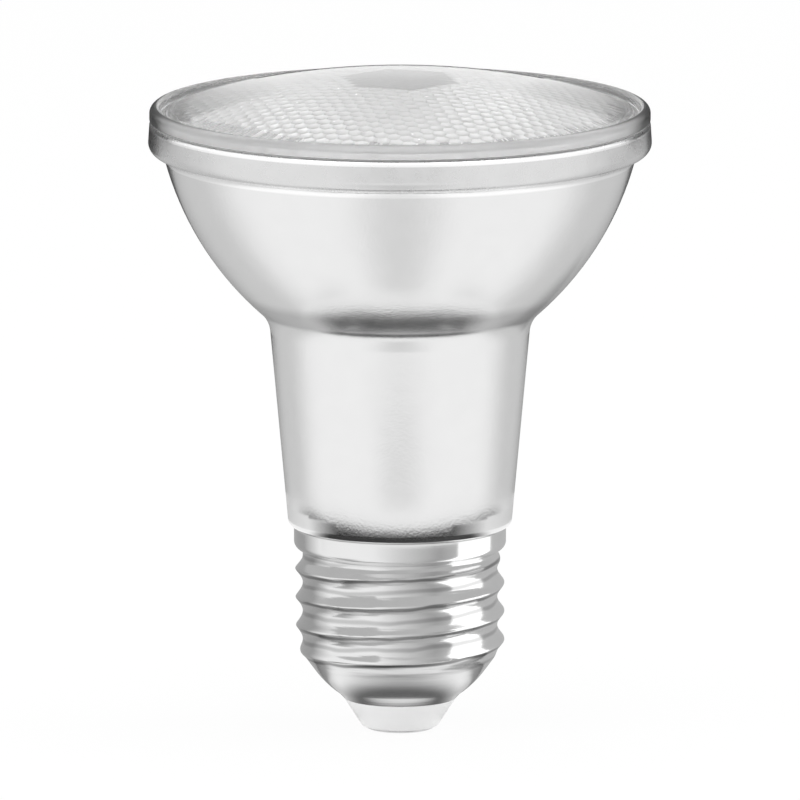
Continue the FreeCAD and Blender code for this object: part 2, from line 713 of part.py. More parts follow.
def closed_solid(faces):
    """Solid of faces that meet all round, mended so that they all point outwards."""
    shell = Part.makeShell(faces)
    shell.sewShape()
    solid = Part.Solid(shell.Shells[0])
    solid.fix(SEW_TOLERANCE, SEW_TOLERANCE, SEW_TOLERANCE)
    return solid


lens = doc.addObject("Part::Feature", "front_lens")
lens.Shape = build_lens()
lens.Placement = Placement(Vector(0, 0, 0), Rotation())
piece(lens, "front_lens")

piece(turned("bond", [
    (flange_radius - S.bond_width, seam_height - S.bond_thickness),
    (flange_radius - S.bond_setback, seam_height - S.bond_thickness),
    (flange_radius - S.bond_setback, seam_height),
    (flange_radius - S.bond_width, seam_height),
]), "lens_seal")


# Glass body: collar, bowl, neck and tail pressed in one piece

rim_top = seam_height - S.bond_thickness
bowl_inner_arc = S.bowl_arc_radius - S.bowl_wall
# The bowl's inner arc shares its centre with the outer one
bowl_chord = ((bowl_top_radius - bowl_foot_radius) * (bowl_top_radius - bowl_foot_radius)
              + (bowl_top_height - bowl_foot_height) * (bowl_top_height - bowl_foot_height)).root()
bowl_rise = (S.bowl_arc_radius * S.bowl_arc_radius - bowl_chord * bowl_chord / 4).root()
bowl_centre_radius = ((bowl_top_radius + bowl_foot_radius) / 2
                      - bowl_rise * (bowl_top_height - bowl_foot_height) / bowl_chord)
bowl_centre_height = ((bowl_top_height + bowl_foot_height) / 2
                      + bowl_rise * (bowl_top_radius - bowl_foot_radius) / bowl_chord)


def bowl_inside(height):
    """Inner radius of the bowl at a height."""
    drop = bowl_centre_height - height
    return bowl_centre_radius + (bowl_inner_arc * bowl_inner_arc - drop * drop).root()


mouth_floor = rim_top - S.mouth_depth
inner_neck_top = S.neck_top_height + S.neck_wall / 2
inner_bowl_foot = bowl_foot_height + S.neck_wall / 2
tail_inside = S.tail_radius - S.tail_wall
neck_floor_height = S.skirt_top_height + S.neck_floor

piece(turned("glass", [
    (rim_top_radius - S.rim_top_round, rim_top),
    (mouth_radius, rim_top),
    (mouth_radius, mouth_floor),
    (bowl_inside(mouth_floor), mouth_floor, -bowl_inner_arc),
    (bowl_inside(inner_bowl_foot), inner_bowl_foot, S.neck_hollow_round + S.neck_wall),
    (neck_inside(inner_neck_top), inner_neck_top),
    (neck_inside(neck_floor_height + S.tail_wall), neck_floor_height + S.tail_wall),
    (tail_inside, neck_floor_height),
    (tail_inside, tail_foot_height),
    (S.tail_radius, tail_foot_height),
    (S.tail_radius, S.skirt_top_height),
    (S.neck_foot_radius - S.neck_foot_inset, S.skirt_top_height, S.neck_foot_round),
    (S.neck_foot_radius, neck_foot_height),
    (S.neck_top_radius, S.neck_top_height, -S.neck_hollow_round),
    (bowl_foot_radius, bowl_foot_height, S.bowl_arc_radius),
    (bowl_top_radius, bowl_top_height, -S.rim_root_round),
    (rim_under_radius, rim_under_height, S.rim_foot_round),
    (S.rim_radius, rim_foot_height),
    (rim_top_radius, rim_top - S.rim_top_round, S.rim_top_round),
]), "reflector_body")


# Heat spreader: an aluminium cup bonded into the top of the neck

spreader_under = spreader_top_height - S.spreader_plate


def spreader_outside(height):
    return neck_inside(height) - S.spreader_gap


spreader = turned("spreader", [
    (0.0, spreader_under),
    (spreader_outside(spreader_under) - S.spreader_wall, spreader_under),
    (spreader_outside(spreader_skirt_foot) - S.spreader_wall, spreader_skirt_foot),
    (spreader_outside(spreader_skirt_foot), spreader_skirt_foot),
    (spreader_outside(spreader_top_height), spreader_top_height),
    (0.0, spreader_top_height),
])


def drill(body, name, top_height, holes, depth):
    """Round holes straight down from a height of a body."""
    sketch = new_sketch(body, name + "_places", "XY_Plane", top_height)
    for across, along, radius in holes:
        draw_circle(sketch, across, along, radius)
    pocket = body.newObject("PartDesign::Pocket", name)
    pocket.Profile = sketch
    bind(pocket, "Length", depth)
    return body


def screw_places():
    """Places of the board screws, spaced evenly on their circle."""
    spots = []
    for index in range(SCREW_COUNT):
        turn = 2 * math.pi * index / SCREW_COUNT
        spots.append((S.screw_circle_radius * math.cos(turn), S.screw_circle_radius * math.sin(turn)))
    return spots


screw_hole_radius = S.screw_shank_radius + S.screw_hole_slack
board_holes = [(across, along, screw_hole_radius) for across, along in screw_places()]
board_holes.append((0.0, -S.wire_hole_offset, S.wire_hole_radius))
piece(drill(spreader, "spreader_holes", spreader_top_height, board_holes, S.spreader_plate),
      "heat_spreader")


# LED board with its pad, LEDs and screws

board_under = spreader_top_height + S.pad_thickness
board_top = board_under + S.board_thickness


def drilled_disc(name, under, thickness):
    def draw(sketch):
        draw_circle(sketch, 0.0, 0.0, S.board_radius)
        for across, along, radius in board_holes:
            draw_circle(sketch, across, along, radius)
    return plate(name, "XY_Plane", under, thickness, draw)


piece(drilled_disc("pad", spreader_top_height, S.pad_thickness), "thermal_pad")
piece(drilled_disc("board", board_under, S.board_thickness), "led_board")


def led(name, across, along):
    """Square LED package with its round window let in."""
    half = S.led_side / 2

    def draw(sketch):
        draw_outline(sketch, [(across - half, along - half), (across + half, along - half),
                              (across + half, along + half), (across - half, along + half)])
    body = plate(name, "XY_Plane", board_top, S.led_height, draw)
    return drill(body, name + "_window", board_top + S.led_height,
                 [(across, along, S.led_lens_radius)], S.led_window_depth)


piece(led("led_a", 0.0, 0.0), "led_1")
for index in range(LED_COUNT):
    turn = 2 * math.pi * index / LED_COUNT
    across = S.led_ring_radius * math.cos(turn)
    along = S.led_ring_radius * math.sin(turn)
    piece(led("led_ring_%d" % (index + 1), across, along), "led_%d" % (index + 2))


def screw(index, across, along):
    """Pan head screw with a cross recess."""
    foot = spreader_under - S.screw_reach
    name = "screw_%d" % index
    shank = rod(name + "_shank", S.screw_shank_radius, board_top - foot, (across, along, foot))
    head = rod(name + "_head", S.screw_head_radius, S.screw_head_height, (across, along, board_top))
    recess_floor = board_top + S.screw_head_height - S.screw_recess_depth
    slots = []
    for slot, (wide, deep) in enumerate(((S.screw_recess_length, S.screw_recess_width),
                                         (S.screw_recess_width, S.screw_recess_length))):
        corner = (across - wide / 2, along - deep / 2, recess_floor)
        slots.append(block("%s_slot_%d" % (name, slot), corner, (wide, deep, S.screw_recess_depth)))
    return cut(name, joined(name + "_blank", [shank, head]), joined(name + "_recess", slots))


screws = [screw(index, across, along) for index, (across, along) in enumerate(screw_places())]
screw_group = doc.addObject("Part::Compound", "screws")
screw_group.Links = screws
piece(screw_group, "board_screws")


# Driver housing: plastic sleeve in the neck, closed below round the tail of the driver

collar_foot = spreader_skirt_foot - S.housing_top_gap
housing_top = spreader_under - S.housing_top_gap
shoulder_foot = housing_shoulder_height - S.housing_shoulder_drop
housing_tail = tail_inside - S.housing_gap


def housing_outside(height):
    return neck_inside(height) - S.housing_gap


def sleeve_outside(height):
    """The sleeve's upper part stands inside the spreader's skirt."""
    return spreader_outside(height) - S.spreader_wall - S.housing_gap


housing_shell = turned("housing_shell", [
    (0.0, housing_floor_height),
    (housing_tail, housing_floor_height),
    (housing_tail, shoulder_foot),
    (housing_outside(housing_shoulder_height), housing_shoulder_height),
    (housing_outside(collar_foot), collar_foot),
    (sleeve_outside(collar_foot), collar_foot),
    (sleeve_outside(housing_top), housing_top),
    (sleeve_outside(housing_top) - S.housing_wall, housing_top),
    (sleeve_outside(collar_foot) - S.housing_wall, collar_foot),
    (sleeve_outside(collar_foot) - S.housing_wall, collar_foot - S.housing_wall),
    (housing_outside(housing_shoulder_height) - S.housing_wall, housing_shoulder_height),
    (housing_tail - S.housing_wall, shoulder_foot),
    (housing_tail - S.housing_wall, housing_floor_height + S.housing_wall),
    (0.0, housing_floor_height + S.housing_wall),
])

resistor_along = S.driver_plane + S.driver_thickness + S.board_seat + S.resistor_radius
neutral_along = S.driver_plane - S.mains_wire_radius - S.wire_seat
drill(housing_shell, "housing_wire_holes", housing_floor_height + S.housing_wall, [
    (S.resistor_across, resistor_along, S.floor_hole_radius),
    (S.neutral_across, neutral_along, S.floor_hole_radius),
], S.housing_wall)

driver_middle = S.driver_plane + S.driver_thickness / 2
rail_envelope = doc.addObject("Part::Cone", "rail_envelope")
rail_top = rail_height + S.housing_rail_length
bind(rail_envelope, "Radius1", housing_outside(rail_height))
bind(rail_envelope, "Radius2", housing_outside(rail_top))
bind(rail_envelope, "Height", S.housing_rail_length)
place(rail_envelope, 0.0, 0.0, rail_height)

rail_inner = S.driver_half_width - S.housing_rail_reach
slot_half = S.driver_thickness / 2 + S.rail_slot_slack
slot_reach = S.driver_half_width + S.rail_slot_slack
rails = []
for side, name in ((-1, "left"), (1, "right")):
    rail_far = housing_outside(rail_top)
    low = -rail_far if side < 0 else rail_inner
    rail = block("rail_" + name, (low, driver_middle - S.housing_rail_width / 2, rail_height),
                 (rail_far - rail_inner, S.housing_rail_width, S.housing_rail_length))
    slot_low = -slot_reach if side < 0 else rail_inner
    slot = block("rail_slot_" + name, (slot_low, driver_middle - slot_half, rail_height),
                 (slot_reach - rail_inner, slot_half * 2, S.housing_rail_length))
    rails.append(cut("slotted_rail_" + name, rail, slot))
trimmed_rails = [common("trimmed_rail_%d" % index, [rail, rail_envelope])
                 for index, rail in enumerate(rails)]
piece(joined("housing", [housing_shell] + trimmed_rails), "driver_housing")


# Driver board, standing in the rails on the housing's floor

driver_foot = housing_floor_height + S.housing_wall + S.driver_foot_gap
driver_front = S.driver_plane + S.driver_thickness
board_face = driver_front + S.board_seat
board_back = S.driver_plane - S.board_seat


def draw_driver(sketch):
    draw_outline(sketch, [
        (-S.driver_tail_half_width, driver_foot),
        (S.driver_tail_half_width, driver_foot),
        (S.driver_tail_half_width, rail_height),
        (S.driver_half_width, rail_height),
        (S.driver_half_width, driver_top_height),
        (-S.driver_half_width, driver_top_height),
        (-S.driver_half_width, rail_height),
        (-S.driver_tail_half_width, rail_height),
    ])


# The drawing plane's normal points along -Y
piece(plate("driver", "XZ_Plane", -driver_front, S.driver_thickness, draw_driver), "driver_board")


# Transformer: bobbin, winding and ferrite core

bobbin_low = transformer_height - S.bobbin_span / 2
bobbin_high = transformer_height + S.bobbin_span / 2
transformer_along = board_face + S.bobbin_side / 2
leg_hole = S.core_leg_side + S.core_leg_slack * 2

flanges = []
for name, foot in (("low", bobbin_low - S.bobbin_flange), ("high", bobbin_high)):
    corner = (-S.bobbin_side / 2, board_face, foot)
    flanges.append(block("bobbin_flange_" + name, corner, (S.bobbin_side, S.bobbin_side, S.bobbin_flange)))
tube = rod("bobbin_tube", S.bobbin_tube_radius, S.bobbin_span, (0.0, transformer_along, bobbin_low))
leg_room = block("bobbin_leg_room", (-leg_hole / 2, transformer_along - leg_hole / 2,
                                     bobbin_low - S.bobbin_flange),
                 (leg_hole, leg_hole, S.bobbin_span + S.bobbin_flange * 2))
piece(cut("bobbin", joined("bobbin_blank", flanges + [tube]), leg_room), "transformer_bobbin")

winding = rod("winding_outside", S.winding_radius, S.bobbin_span, (0.0, transformer_along, bobbin_low))
winding_hole = rod("winding_inside", S.bobbin_tube_radius, S.bobbin_span,
                   (0.0, transformer_along, bobbin_low))
piece(cut("winding", winding, winding_hole), "transformer_winding")

core_low = bobbin_low - S.bobbin_flange - S.core_leg_slack
core_high = bobbin_high + S.bobbin_flange + S.core_leg_slack
core_front = transformer_along - S.core_leg_side / 2
core_parts = [
    block("core_yoke_low", (-S.core_width / 2, core_front, core_low - S.core_limb),
          (S.core_width, S.core_leg_side, S.core_limb)),
    block("core_yoke_high", (-S.core_width / 2, core_front, core_high),
          (S.core_width, S.core_leg_side, S.core_limb)),
    block("core_leg_left", (-S.core_width / 2, core_front, core_low),
          (S.core_limb, S.core_leg_side, core_high - core_low)),
    block("core_leg_right", (S.core_width / 2 - S.core_limb, core_front, core_low),
          (S.core_limb, S.core_leg_side, core_high - core_low)),
    block("core_leg_middle", (-S.core_leg_side / 2, core_front, core_low),
          (S.core_leg_side, S.core_leg_side, core_high - core_low)),
]
piece(joined("core", core_parts), "transformer_core")


# Electrolytic cans: a rolled groove near the seal


def can(name, radius, length):
    """Can along its own Z, seal end down."""
    waist = radius - S.can_groove_depth
    low = S.can_groove_place - S.can_groove_depth * 2
    high = S.can_groove_place + S.can_groove_depth * 2
    return turned(name, [
        (0.0, 0.0),
        (radius, 0.0),
        (radius, low),
        (waist, S.can_groove_place),
        (radius, high),
        (radius, length),
        (0.0, length),
    ])


input_can = can("input_can", S.input_can_radius, S.input_can_length)
place(input_can, S.input_can_across, board_face + S.input_can_radius, input_can_foot)
piece(input_can, "input_capacitor")

output_can = can("output_can", S.output_can_radius, S.output_can_length)
place(output_can, S.output_can_left, board_face + S.output_can_radius, output_can_height, ALONG_X)
piece(output_can, "output_capacitor")

film_foot = rail_top + S.film_gap
film = block("film_box", (S.film_left, board_face, film_foot),
             (S.film_width, S.film_depth, S.film_length))
doc.recompute()
film_round = doc.addObject("Part::Fillet", "film")
film_round.Base = film
film_round.Edges = [(edge, number(S.film_edge), number(S.film_edge))
                    for edge in range(1, len(film.Shape.Edges) + 1)]
piece(film_round, "film_capacitor")


# Choke: drum core standing on the board, with its winding

choke_foot = (S.choke_across, board_face, choke_height)
drum = turned("drum", [
    (0.0, 0.0),
    (S.choke_radius, 0.0),
    (S.choke_radius, S.choke_flange),
    (S.choke_hub_radius, S.choke_flange),
    (S.choke_hub_radius, S.choke_length - S.choke_flange),
    (S.choke_radius, S.choke_length - S.choke_flange),
    (S.choke_radius, S.choke_length),
    (0.0, S.choke_length),
])
piece(place(drum, *choke_foot, turn=ALONG_Y), "choke_core")
coil = turned("drum_coil", [
    (S.choke_hub_radius, S.choke_flange),
    (S.choke_winding_radius, S.choke_flange),
    (S.choke_winding_radius, S.choke_length - S.choke_flange),
    (S.choke_hub_radius, S.choke_length - S.choke_flange),
])
piece(place(coil, *choke_foot, turn=ALONG_Y), "choke_winding")

disc = turned("varistor_disc", [
    (0.0, 0.0),
    (S.varistor_radius - S.varistor_round, 0.0, S.varistor_round),
    (S.varistor_radius, S.varistor_round),
    (S.varistor_radius, S.varistor_thickness - S.varistor_round, S.varistor_round),
    (S.varistor_radius - S.varistor_round, S.varistor_thickness),
    (0.0, S.varistor_thickness),
])
piece(place(disc, S.varistor_across, board_face, varistor_height, ALONG_Y), "varistor")


# Round wires: straight runs joined by tangent arcs


def wire_between(points, radius):
    """Round wire through corner points, each bend as large as its runs allow."""
    edges = []
    last = points[0]
    for index in range(1, len(points) - 1):
        back = points[index - 1] - points[index]
        ahead = points[index + 1] - points[index]
        half_turn = (math.pi - back.getAngle(ahead)) / 2
        setback = number(S.wire_bend_share) * min(back.Length, ahead.Length)
        bend = setback / math.tan(half_turn)
        start = points[index] + Vector(back).normalize() * setback
        end = points[index] + Vector(ahead).normalize() * setback
        inward = (Vector(back).normalize() + Vector(ahead).normalize()).normalize()
        middle = points[index] + inward * (bend / math.cos(half_turn) - bend)
        edges.append(Part.LineSegment(last, start).toShape())
        edges.append(Part.Arc(start, middle, end).toShape())
        last = end
    edges.append(Part.LineSegment(last, points[-1]).toShape())
    path = Part.Wire(edges)
    section = Part.Wire(Part.makeCircle(radius, points[0], points[1] - points[0]))
    return path.makePipeShell([section], True, True)


def at(across, along, up):
    return Vector(number(across), number(along), number(up))


def wire_through(name, points, radius):
    wire = doc.addObject("Part::Feature", name)
    wire.Shape = wire_between(points, number(radius))
    wire.Placement = Placement(Vector(0, 0, 0), Rotation())
    return wire


def wire_piece(label, points, radius):
    return piece(wire_through(label, points, radius), label)


# Fusible resistor: turned body with its lower lead, the upper lead bent over to the board

resistor_body = turned("resistor_body", [
    (0.0, resistor_foot - S.resistor_lead_down),
    (S.resistor_lead_radius, resistor_foot - S.resistor_lead_down),
    (S.resistor_lead_radius, resistor_foot),
    (S.resistor_radius, resistor_foot),
    (S.resistor_radius, resistor_foot + S.resistor_cap_length),
    (S.resistor_waist_radius, resistor_foot + S.resistor_cap_length),
    (S.resistor_waist_radius, resistor_top - S.resistor_cap_length),
    (S.resistor_radius, resistor_top - S.resistor_cap_length),
    (S.resistor_radius, resistor_top),
    (0.0, resistor_top),
])
place(resistor_body, S.resistor_across, resistor_along, 0.0)
resistor_lead = wire_through("resistor_lead", [
    at(S.resistor_across, resistor_along, resistor_top - S.resistor_lead_root),
    at(S.resistor_across, resistor_along, resistor_lead_level),
    at(S.resistor_across, driver_front, resistor_lead_level),
], S.resistor_lead_radius)
piece(joined("resistor", [resistor_body, resistor_lead]), "fusible_resistor")


# Chips on the back of the driver board


def chip(name, low, lengths, legs, pitch):
    """Moulded chip with flat legs along both long sides."""
    wide, deep, long = lengths
    parts = [block(name + "_body", low, (wide, deep, long))]
    first = low[2] + long / 2 - pitch * (legs - 1) / 2 - S.leg_width / 2
    for row in range(legs):
        parts.append(block("%s_legs_%d" % (name, row),
                           (low[0] - S.leg_reach, low[1] + deep - S.leg_thickness, first + pitch * row),
                           (wide + S.leg_reach * 2, S.leg_thickness, S.leg_width)))
    return joined(name, parts)


def behind_board(depth):
    return S.driver_plane - depth


piece(chip("bridge", (-S.bridge_width / 2, behind_board(S.bridge_depth), S.bridge_foot),
           (S.bridge_width, S.bridge_depth, S.bridge_length), BRIDGE_LEG_ROWS, S.bridge_leg_pitch),
      "bridge_rectifier")
piece(chip("control", (-S.chip_width / 2, behind_board(S.chip_depth), transformer_height - S.chip_drop),
           (S.chip_width, S.chip_depth, S.chip_length), CHIP_LEG_ROWS, S.leg_pitch), "driver_chip")
diode_low = (S.diode_across - S.diode_width / 2, behind_board(S.diode_depth),
             transformer_height - S.diode_drop)
piece(block("diode", diode_low, (S.diode_width, S.diode_depth, S.diode_length)), "rectifier_diode")
for index in range(SMALL_CHIP_COUNT):
    low = (S.small_chip_across - S.small_chip_width / 2, behind_board(S.small_chip_depth),
           transformer_height - S.small_chip_drop + S.small_chip_step * index)
    name = "chip_resistor_%d" % (index + 1)
    piece(block(name + "_block", low, (S.small_chip_width, S.small_chip_depth, S.small_chip_length)), name)


# LED leads: from the LED board down through its hole to the back of the driver board

lead_level = board_top + S.lead_wire_radius + S.wire_seat
lead_board_along = S.driver_plane - S.lead_wire_radius - S.wire_seat
for side, label in ((-1, "led_lead_minus"), (1, "led_lead_plus")):
    across = S.lead_half_gap * side
    wire_piece(label, [
        at(across, -S.lead_start_offset, lead_level),
        at(across, -S.wire_hole_offset, lead_level),
        at(across, -S.wire_hole_offset, spreader_top_height - S.lead_turn_drop),
        at(across, lead_board_along, spreader_top_height - S.lead_board_drop),
        at(across, lead_board_along, spreader_top_height - S.lead_end_drop),
    ], S.lead_wire_radius)


# Screw cap: skirt, threaded barrel and cone rolled from one sheet


def ease(part):
    """Smooth rise from 0 to 1."""
    part = min(max(part, 0.0), 1.0)
    return part * part * (3 - 2 * part)


def barrel_radius(turn, height):
    """Outside of the barrel: a right-hand wave on the root that dies out at both ends."""
    below = max(number(S.shoulder_height) - height, 0.0)
    bend = number(S.cone_lean / (S.shoulder_height - S.barrel_foot_height) / 2)
    base = number(S.thread_root_radius) - bend * below * below
    wave = (height - number(S.thread_phase)) / number(S.thread_pitch) - turn / (2 * math.pi)
    crest = ((1 + math.cos(2 * math.pi * wave)) / 2) ** number(S.thread_crest_power)
    from_top = (number(thread_top_height) - height) / number(S.thread_fade_top)
    from_foot = (height - number(S.barrel_foot_height)) / number(S.thread_fade_foot)
    return base + number(S.thread_depth) * crest * ease(from_top) * ease(from_foot)


def barrel_face(inset):
    """Threaded face through a grid of worked-out points, closed all round."""
    low = number(S.barrel_foot_height)
    high = number(thread_top_height)
    grid = []
    for step in range(TURN_STEPS + 1):
        turn = 2 * math.pi * step / TURN_STEPS
        line = []
        for row in range(BARREL_ROWS + 1):
            height = low + (high - low) * row / BARREL_ROWS
            radius = barrel_radius(turn, height) - inset
            line.append(Vector(radius * math.cos(turn), radius * math.sin(turn), height))
        grid.append(line)
    surface = Part.BSplineSurface()
    surface.interpolate(grid)
    return surface.toShape()


barrel_foot_drop = S.shoulder_height - S.barrel_foot_height
barrel_foot_radius = S.thread_root_radius - S.cone_lean * barrel_foot_drop / 2


def band(barrel, radius, height):
    """Cone between an end of the threaded barrel and a circle beyond it."""
    circle = Part.makeCircle(number(radius), Vector(0, 0, number(height)))
    ends = [edge for edge in barrel.Edges if edge.isClosed()]
    nearest = min(ends, key=lambda edge: abs(edge.Vertexes[0].Z - number(height)))
    return Part.makeRuledSurface(nearest, circle)


def build_cap():
    outside = barrel_face(0.0)
    inside = barrel_face(number(S.cap_wall))
    lip_height = thread_top_height + S.cap_wall
    inner_lip_height = lip_height + S.cap_wall
    skirt = turned_faces([
        (S.skirt_neck_radius, lip_height, S.skirt_foot_round),
        (S.skirt_radius, skirt_foot_height),
        (S.skirt_radius, S.skirt_top_height),
        (S.skirt_radius - S.cap_wall, S.skirt_top_height),
        (S.skirt_radius - S.cap_wall, skirt_foot_height, -(S.skirt_foot_round - S.cap_wall)),
        (S.skirt_neck_radius - S.cap_wall, inner_lip_height),
    ])
    cone = turned_faces([
        (S.cone_knee_radius, S.cone_knee_height, -S.cone_curve),
        (S.cone_mouth_radius, S.cone_mouth_height),
        (S.cap_mouth_radius, S.cap_mouth_height),
        (S.cap_mouth_radius - S.cone_wall_run, S.cap_mouth_height),
        (S.cone_mouth_radius - S.cone_wall_run, S.cone_mouth_height, S.cone_curve - S.cap_wall),
        (S.cone_knee_radius - S.cone_wall_run, S.cone_knee_height),
    ])
    bands = [
        band(outside, S.skirt_neck_radius, lip_height),
        band(inside, S.skirt_neck_radius - S.cap_wall, inner_lip_height),
        band(outside, S.cone_knee_radius, S.cone_knee_height),
        band(inside, S.cone_knee_radius - S.cone_wall_run, S.cone_knee_height),
    ]
    return closed_solid(skirt + cone + bands + outside.Faces + inside.Faces)


cap = doc.addObject("Part::Feature", "cap_shell")
cap.Shape = build_cap()
cap.Placement = Placement(Vector(0, 0, 0), Rotation())
piece(cap, "cap_shell")

piece(turned("cement", [
    (S.tail_radius + S.cement_gap, S.skirt_top_height - S.cement_depth),
    (S.skirt_neck_radius - S.cap_wall - S.cement_gap, S.skirt_top_height - S.cement_depth),
    (S.skirt_radius - S.cap_wall - S.cement_gap, skirt_foot_height + S.cap_wall),
    (S.skirt_radius - S.cap_wall - S.cement_gap, S.skirt_top_height - S.cement_gap),
    (S.tail_radius + S.cement_gap, S.skirt_top_height - S.cement_gap),
]), "cap_cement")


# Insulator and centre contact

piece(turned("insulator", [
    (S.contact_stem_radius, S.contact_thickness),
    (S.insulator_foot_radius, S.contact_thickness, S.insulator_round),
    (S.insulator_side_radius, S.insulator_side_height),
    (S.cap_mouth_radius, S.cap_mouth_height),
    (S.cap_mouth_radius - S.cone_wall_run - S.insulator_ledge, S.cap_mouth_height),
    (S.insulator_top_radius, S.insulator_top_height),
    (S.insulator_cup_radius, S.insulator_top_height),
    (S.insulator_cup_radius, S.insulator_top_height - S.insulator_cup_depth),
    (S.contact_stem_radius, S.insulator_top_height - S.insulator_cup_depth),
]), "cap_insulator")

piece(turned("contact", [
    (0.0, 0.0),
    (S.contact_flat_radius, 0.0),
    (S.contact_radius, S.contact_thickness - S.contact_edge),
    (S.contact_radius, S.contact_thickness),
    (S.contact_stem_radius, S.contact_thickness),
    (S.contact_stem_radius, S.contact_stem_height),
    (S.contact_bore_radius, S.contact_stem_height),
    (S.contact_bore_radius, S.contact_bore_floor),
    (0.0, S.contact_bore_floor),
]), "centre_contact")


# Mains wires: live from the contact's stem to the resistor, neutral from the board to the cap

wire_piece("live_wire", [
    at(0.0, 0.0, S.contact_bore_floor),
    at(0.0, 0.0, S.live_turn_low),
    at(S.resistor_across, resistor_along, housing_floor_height - S.live_turn_gap),
    at(S.resistor_across, resistor_along, resistor_foot - S.resistor_lead_down),
], S.mains_wire_radius)

gap_middle = (S.tail_radius + S.thread_root_radius - S.cap_wall) / 2
neutral_reach = math.hypot(number(S.neutral_across), number(neutral_along))
out_across = gap_middle * (number(S.neutral_across) / neutral_reach)
out_along = gap_middle * (number(neutral_along) / neutral_reach)
wire_piece("neutral_wire", [
    at(S.neutral_across, neutral_along, housing_floor_height + S.neutral_rise),
    at(S.neutral_across, neutral_along, housing_floor_height - S.neutral_drop),
    at(out_across, out_along, housing_floor_height - S.neutral_drop),
    at(out_across, out_along, S.skirt_top_height - S.neutral_end_drop),
], S.mains_wire_radius)


# Check every step, then write one file for each sub-part

doc.recompute()
for thing in doc.Objects:
    if "Invalid" in thing.State or "Error" in thing.State:
        raise RuntimeError("%s failed: %s" % (thing.Name, thing.State))
for thing in pieces:
    if thing.Shape.isNull() or not thing.Shape.isValid() or not thing.Shape.Solids:
        raise RuntimeError("%s has no sound shape" % thing.Label)

os.makedirs("parts", exist_ok=True)
for thing in pieces:
    thing.Shape.exportStep("parts/%s.step" % thing.Label)
    print("%-22s %d solid %9.1f mm3" % (thing.Label, len(thing.Shape.Solids), thing.Shape.Volume))
print("%d sub-parts" % len(pieces))
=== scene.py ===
"""Looks of a reflector spotlight bulb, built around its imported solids.

Sizes are in millimetres in this file and become metres when a mesh is made.
The axis is +Z, and the camera looks along +Y from a little above.
"""

from __future__ import annotations

import json
import logging
import math
from dataclasses import dataclass
from enum import Enum
from typing import Mapping, Sequence, Union

import bpy
import numpy as np
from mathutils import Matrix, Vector


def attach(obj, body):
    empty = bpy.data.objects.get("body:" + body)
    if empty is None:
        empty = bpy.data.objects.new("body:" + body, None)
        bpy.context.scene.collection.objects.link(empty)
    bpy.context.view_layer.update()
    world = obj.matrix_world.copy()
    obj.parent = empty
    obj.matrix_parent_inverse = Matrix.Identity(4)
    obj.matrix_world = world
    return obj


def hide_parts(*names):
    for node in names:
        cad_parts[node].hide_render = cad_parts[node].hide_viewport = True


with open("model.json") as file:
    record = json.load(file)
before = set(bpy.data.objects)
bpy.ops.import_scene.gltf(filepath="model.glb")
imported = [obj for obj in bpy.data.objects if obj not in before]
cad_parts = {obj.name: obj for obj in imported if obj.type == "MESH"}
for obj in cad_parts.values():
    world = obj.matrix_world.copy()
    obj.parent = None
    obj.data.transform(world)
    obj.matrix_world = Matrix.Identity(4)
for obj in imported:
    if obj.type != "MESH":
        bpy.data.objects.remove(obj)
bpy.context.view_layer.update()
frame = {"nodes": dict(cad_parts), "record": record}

LOG = logging.getLogger("bulb")
MM = 0.001
BODY = "root"
Colour = tuple[float, float, float]
Waves = tuple[float, float, float]
Spot = tuple[float, float]
Corner = tuple[float, ...]


def grey(level: float) -> Colour:
    """The same red, green and blue."""
    return level, level, level


def linked(name: str, data: bpy.types.ID) -> bpy.types.Object:
    """Put a new object in the scene.

    Args:
        name: the object's name.
        data: its mesh, lamp or camera.

    Returns:
        The object.
    """
    obj = bpy.data.objects.new(name, data)
    bpy.context.scene.collection.objects.link(obj)
    return obj


# Shader maths


class Term:
    """A shader socket that takes part in Python sums."""

    def __init__(self, graph: "Graph", socket: bpy.types.NodeSocket) -> None:
        """Keep the socket and the graph that it belongs to."""
        self.graph = graph
        self.socket = socket

    def maths(self, operation: str, *others: "Value") -> "Term":
        """One Math node on this value and the others."""
        return self.graph.term("ShaderNodeMath", {"operation": operation}, dict(enumerate((self, *others))))

    def __add__(self, other: "Value") -> "Term":
        """Sum."""
        return self.maths("ADD", other)

    __radd__ = __add__

    def __mul__(self, other: "Value") -> "Term":
        """Product."""
        return self.maths("MULTIPLY", other)

    __rmul__ = __mul__

    def __sub__(self, other: "Value") -> "Term":
        """Difference."""
        return self.maths("SUBTRACT", other)

    def __rsub__(self, other: "Value") -> "Term":
        """Difference with this value second."""
        return self.graph.term("ShaderNodeMath", {"operation": "SUBTRACT"}, {0: other, 1: self})

    def __truediv__(self, other: "Value") -> "Term":
        """Quotient."""
        return self.maths("DIVIDE", other)

    def step(self, low: float, high: float) -> "Term":
        """Smooth rise from 0 at low to 1 at high.

        Args:
            low: where the rise starts.
            high: where it ends; below low it is a fall.

        Returns:
            The risen value.
        """
        return self.graph.term("ShaderNodeMapRange", {"interpolation_type": "SMOOTHSTEP"},
                               {"Value": self, "From Min": min(low, high), "From Max": max(low, high),
                                "To Min": float(low > high), "To Max": float(low < high)}, "Result")

    def band(self, rise: float, full: float, end: float, fall: float) -> "Term":
        """1 from full to end, 0 before rise and past fall, smooth between."""
        return self.step(rise, full) * self.step(fall, end)


Value = Union[Term, float]


